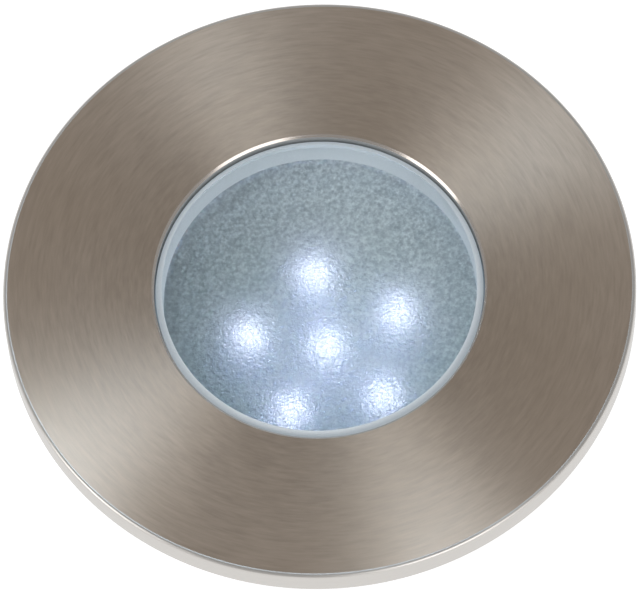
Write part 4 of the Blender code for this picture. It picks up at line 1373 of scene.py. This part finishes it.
def make_gland_body():
    """Two threads either side of a hexagon, bored through and opened out for the bush."""
    wall = column(gland_thread, gland_top - gland_depth, gland_collar_top, gland_pitch)
    start, end = (gland_thread - gland_depth, gland_top), (gland_thread, gland_collar_top - weld)
    upper = lathe("upper_thread", [start, *wall, end], medium)
    wind_thread(upper, gland_thread, gland_collar_top + gap, gland_top, gland_pitch, gland_depth)
    wall = column(gland_tail, gland_collar_low, gland_tail_low + gland_depth, gland_pitch)
    start, end = (gland_tail, gland_collar_low + weld), (gland_tail - gland_depth, gland_tail_low)
    lower = lathe("lower_thread", [start, *wall, end], medium)
    wind_thread(lower, gland_tail, gland_tail_low, gland_collar_low - gap, gland_pitch, gland_depth)
    body = join(gland_hexagon(), upper, lower)
    socket = gland_tail - throat_wall - gap / 3
    bore = [
        (gland_bore, gland_top + overrun),
        (gland_bore, bush_top + gap + socket - gland_bore),
        (socket, bush_top + gap),
        (socket, gland_tail_low - overrun),
    ]
    cut(body, lathe("bore", bore, medium))
    body.name = "gland_body_threaded"
    belongs(dress(smooth(body), moulded_nylon()), "gland_body")


def make_gland_nut():
    """The cap nut: six flats that run out into a round nose."""
    corner = nut_flats / math.cos(math.pi / 6)
    widest = corner + nut_corner_gap
    nose = [(corner - gland_corner * 2, nut_top), (widest, nut_top - gland_corner)]
    for share, fall in arc((0.0, 1.0), 1.0, 0.0, -90.0, 14):
        nose.append((nut_end + (widest - nut_end) * share, nut_low + nut_dome * fall))
    nut = work(hexagon(nut_flats, nut_low, nut_top), "INTERSECT", lathe("nose", nose, medium))
    bore = [
        (gland_tail + gap, nut_top + overrun),
        (gland_tail + nut_thread_gap, nut_top - gap),
        (gland_tail + nut_thread_gap, bush_low - gap),
        (nut_mouth, bush_low - gap),
        (nut_mouth, nut_low + gap),
        (nut_mouth + gap, nut_low),
        (nut_mouth + gap, nut_low - overrun),
    ]
    cut(nut, lathe("bore", bore, medium))
    nut.name = "gland_cap_nut"
    belongs(dress(smooth(nut), moulded_nylon()), "gland_nut")


def make_gland_washer():
    """The rubber washer above the gland's hexagon."""
    low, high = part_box("gland_washer")
    outside, inside = high.x, gland_thread + gap
    soft = (high.z - low.z) * 0.3
    profile = [
        *arc((outside - soft, high.z - soft), soft, 90.0, 0.0, 4),
        *arc((outside - soft, low.z + soft), soft, 0.0, -90.0, 4),
        (inside, low.z),
        (inside, high.z),
    ]
    washer = dress(smooth(lathe("gland_rubber_washer", profile, medium, ring=True)), rubber())
    belongs(washer, "gland_washer")


def make_gland_bush():
    """The bush that the nut squeezes round the cable."""
    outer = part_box("gland_seal")[1].x
    profile = [
        (bush_bore + bush_lip, bush_top),
        (outer, bush_top),
        (outer, bush_low + bush_taper),
        (outer - bush_taper, bush_low),
        (bush_bore + bush_lip, bush_low),
        (bush_bore, bush_low + bush_lip),
        (bush_bore, bush_top - bush_lip),
    ]
    bush = dress(smooth(lathe("gland_bush", profile, medium, ring=True)), rubber())
    belongs(bush, "gland_seal")


# The clips, made about the pin with X out of the body, Y along the pin and Z up


def fold_sheet():
    """The arm's web with its curled tip, and two cheeks bored for the pin."""
    middle = (web_inside + web_outside) / 2
    centre = (arm_length - arm_curl, middle - arm_curl)
    turn = 90.0 - arm_curl_turn
    side_view = [
        (arm_start, web_outside),
        *arc(centre, arm_curl + steel / 2, 90.0, turn, 10),
        *arc(centre, arm_curl - steel / 2, turn, 90.0, 10),
        (arm_start, web_inside),
    ]
    half = [
        (arm_start - overrun, arm_half),
        (ear_length + ear_end, arm_half),
        (arm_length - arm_corner, arm_tip_half),
        *arc((arm_length - arm_corner, arm_tip_half - arm_corner), arm_corner, 80.0, 0.0, 5),
        (arm_length + overrun, arm_tip_half - arm_corner * 1.3),
    ]
    plan = half + [(along, -across) for along, across in reversed(half)]
    arm = put(plate(side_view, -arm_half, arm_half), upright)
    work(arm, "INTERSECT", plate(plan, -web_outside, web_outside + overrun))
    cheek = [
        *arc((0.0, 0.0), ear_radius, 115.0, 300.0, 30),
        (ear_length, web_inside - ear_end),
        (ear_length + ear_end, web_outside),
        (arm_start, web_outside),
    ]
    for low, high in ((-arm_half, steel - arm_half), (arm_half - steel, arm_half)):
        join(arm, put(plate(cheek, low, high, holes=[round_hole(pin_bore)]), upright))
    return arm


def round_bends(arm):
    """Rounds the two long edges where the cheeks fold down from the web."""
    only(arm)
    bpy.ops.object.mode_set(mode="EDIT")
    bpy.ops.mesh.select_mode(type="EDGE")
    bpy.ops.mesh.select_all(action="SELECT")
    bpy.ops.mesh.remove_doubles(threshold=weld_distance)
    bpy.ops.mesh.dissolve_limited(angle_limit=math.radians(1.0))
    bpy.ops.mesh.select_all(action="DESELECT")
    bpy.ops.object.mode_set(mode="OBJECT")
    for edge in arm.data.edges:
        ends = [arm.data.vertices[index].co for index in edge.vertices]
        level = all(abs(end.z - web_outside) < weld_distance * 4 for end in ends)
        outer = all(abs(abs(end.y) - arm_half) < weld_distance * 4 for end in ends)
        edge.select = level and outer and ends[0].y * ends[1].y > 0
    bpy.ops.object.mode_set(mode="EDIT")
    bpy.ops.mesh.bevel(offset=bend_radius, segments=5, affect="EDGES")
    bpy.ops.object.mode_set(mode="OBJECT")


def bead(inset, base, top, half):
    """A long ridge with sloping ends along the arm's middle."""
    start, end, slope = bead_start + inset, bead_end - inset, bead_rise * 2
    outline = [(start, base), (start + slope, top), (end - slope, top), (end, base)]
    return put(plate(outline, -half, half), upright)


def make_arm():
    """A folded steel arm with a hole for the spring's hook and a bead pressed up in its web."""
    arm = fold_sheet()
    round_bends(arm)
    hook = peg(hook_hole, web_inside - overrun, web_outside + overrun, drilled)
    cut(arm, put(hook, at(hook_reach, coil_length / 2)))
    top = web_outside + bead_rise
    join(arm, soften(bead(0.0, web_outside - steel / 2, top, bead_half), bead_edge, 3))
    cut(arm, bead(bead_steel, web_inside - overrun, top - bead_steel, bead_half * 0.6))
    soften(arm, arm_edge, 2, 50.0)
    return dress(smooth(arm), rolled_steel())


def make_pin():
    """A headed pin, its head towards -Y."""
    head_face = -lug_outside - gap
    tail = lug_outside + gap + clamp_thickness + pin_tail
    crown = pin_head_height * 0.6
    profile = [
        (pin_radius - pin_chamfer, tail),
        (pin_radius, tail - pin_chamfer),
        (pin_radius, head_face),
        (pin_head - pin_head_edge, head_face),
        (pin_head, head_face - pin_head_edge),
        *arc((pin_head - crown, head_face - pin_head_height + crown), crown, 0.0, -90.0, 5),
    ]
    return dress(smooth(put(lathe("pin", profile, small), along_pin)), turned_steel())


def make_clamp_washer():
    """A push-on washer: a flat rim, and teeth that lean up and bite on the pin."""
    low = lug_outside + gap
    high = low + clamp_thickness
    shelf = clamp_washer * clamp_shelf_share
    profile = [
        (clamp_washer, low + clamp_steel),
        (clamp_washer, low),
        (shelf, low),
        (pin_radius + clamp_grip, high - clamp_steel),
        (pin_radius + clamp_grip, high),
        (shelf, low + clamp_steel),
    ]
    washer = lathe("push_on_washer", profile, small, ring=True)
    slot_low = (pin_radius - overrun, -clamp_slot_half, low - overrun)
    slot_high = (shelf * clamp_slot_share, clamp_slot_half, high + overrun)
    for tooth in range(clamp_teeth):
        turn = math.tau * (tooth + 0.5) / clamp_teeth
        cut(washer, put(box(slot_low, slot_high), Matrix.Rotation(turn, 4, "Z")))
    return dress(smooth(put(washer, along_pin)), rolled_steel())


def make_spring():
    """One unbroken wire: the fixed leg, the coil round the pin, and the leg that hooks through the arm."""
    half = coil_length / 2
    route = [Vector((anchor_face - anchor_depth + gap, -half, -fixed_leg_fall))]
    for across, up in arc((-coil_radius - leg_bend, -fixed_leg_fall + leg_bend), leg_bend, -90.0, 0.0, 8):
        route.append(Vector((across, -half, up)))
    start, finish = 180.0, rest_angle + 90.0 - 360.0 * coil_turns
    steps = round((start - finish) / 10.0)
    for step, (across, up) in enumerate(arc((0.0, 0.0), coil_radius, start, finish, steps)):
        route.append(Vector((across, coil_length * step / steps - half, up)))
    for along, away in arc((hook_reach - leg_bend, coil_radius + leg_bend), leg_bend, -90.0, 0.0, 8):
        route.append(tilted @ Vector((along, half, away)))
    route.append(tilted @ Vector((hook_reach, half, web_outside + hook_stand)))
    return dress(tube("coil", route, wire_radius), drawn_wire())


def make_clips():
    """Both clips. Each arm goes on a body of its own, placed about its hinge; the spring and the rest stay.
    """
    arm, pin, washer, spring = make_arm(), make_pin(), make_clamp_washer(), make_spring()
    for side, degrees in (("right", 0.0), ("left", 180.0)):
        place, body = hinge_place(degrees), f"{side}_clip"
        belongs(copy_of(arm, f"{side}_arm", place @ tilted), f"{body}_arm", body)
        belongs(copy_of(pin, f"{side}_pin", place), f"{body}_pin")
        belongs(copy_of(washer, f"{side}_push_on_washer", place), f"{body}_washer")
        coil = copy_of(spring, f"{side}_spring", place)
        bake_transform(coil)
        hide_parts(f"{body}_spring")
    discard(arm, pin, washer, spring)


# The room


def make_floor():
    """A pale floor just under the light, which looks near white wherever the eye meets it."""
    bpy.ops.object.select_all(action="DESELECT")
    bpy.ops.mesh.primitive_plane_add(size=floor_size, location=(0, 0, cad_low.z - floor_gap))
    floor = bpy.context.object
    floor.name = "floor"
    made, tree, shader = material("pale_floor", (0.86, 0.86, 0.86), 0.8)
    white = node(tree, "Emission", sockets={"Strength": 1.5})
    eye = node(tree, "LightPath", out="Is Camera Ray")
    for ray in ("Is Glossy Ray", "Is Transmission Ray"):
        eye = calc(tree, "MAXIMUM", eye, node(tree, "LightPath", out=ray))
    show(tree, shader_mix(tree, calc(tree, "MULTIPLY", eye, 0.6), shader.outputs[0], white))
    dress(floor, made)


def make_world():
    """White all round for the camera, and a softer sky that dims towards its top for all else."""
    world = bpy.data.worlds.new("studio")
    bpy.context.scene.world = world
    world.use_nodes = True
    tree = world.node_tree
    height = parts_of(tree, node(tree, "TexCoord", out="Generated"))[2]
    level = span(tree, height, 0.0, 0.75, 0.56, 0.43)
    strength = calc(tree, "MAXIMUM", level, node(tree, "LightPath", out="Is Camera Ray"))
    feed(tree, tree.nodes["Background"], Color=(*plain_white, 1.0), Strength=strength)


def make_light(name, azimuth, elevation, size, power, distance=near_light, colour=plain_white):
    """A square lamp that faces the object."""
    data = bpy.data.lights.new(name, "AREA")
    data.energy = power
    data.size = size
    data.color = colour
    light = bpy.data.objects.new(name, data)
    bpy.context.scene.collection.objects.link(light)
    turn, rise = math.radians(azimuth), math.radians(elevation)
    way = Vector((math.cos(turn) * math.cos(rise), math.sin(turn) * math.cos(rise), math.sin(rise)))
    light.location = way * distance
    light.rotation_euler = way.to_track_quat("Z", "Y").to_euler()


def make_camera():
    """The photograph's view: from the front and well above, turned a little in the hand."""
    elevation = math.radians(view_elevation)
    aim = Vector((0.0, -view_drop * math.sin(elevation), face_top - view_drop * math.cos(elevation)))
    back = Vector((0.0, -math.cos(elevation), math.sin(elevation)))
    data = bpy.data.cameras.new("camera")
    data.lens = view_lens
    data.sensor_width = 36.0
    data.clip_start = 0.01
    data.clip_end = 20.0
    camera = bpy.data.objects.new("camera", data)
    bpy.context.scene.collection.objects.link(camera)
    turn = back.to_track_quat("Z", "Y").to_matrix() @ Matrix.Rotation(math.radians(view_roll), 3, "Z")
    camera.rotation_euler = turn.to_euler()
    camera.location = aim + back * view_distance
    bpy.context.scene.camera = camera


make_face()
make_glass()
make_lamps()
make_board()
make_board_screws()
make_resistors()
make_rectifier()
make_terminal()
make_terminal_screws()
make_seal()
make_gasket()
make_housing()
make_screws()
make_gland_body()
make_gland_nut()
make_gland_washer()
make_gland_bush()
make_clips()
make_floor()
make_world()
make_light("left_above", 130.4, 68.4, 0.30, 3.85, far_light, cool)
make_light("right_above", 49.8, 81.0, 0.30, 2.9, far_light, cool)
make_light("front_right", 300.0, 25.0, 0.50, 1.7)
make_light("front_left", 203.0, 20.0, 0.42, 1.4)
make_camera()

bpy.context.scene.view_settings.view_transform = "Standard"
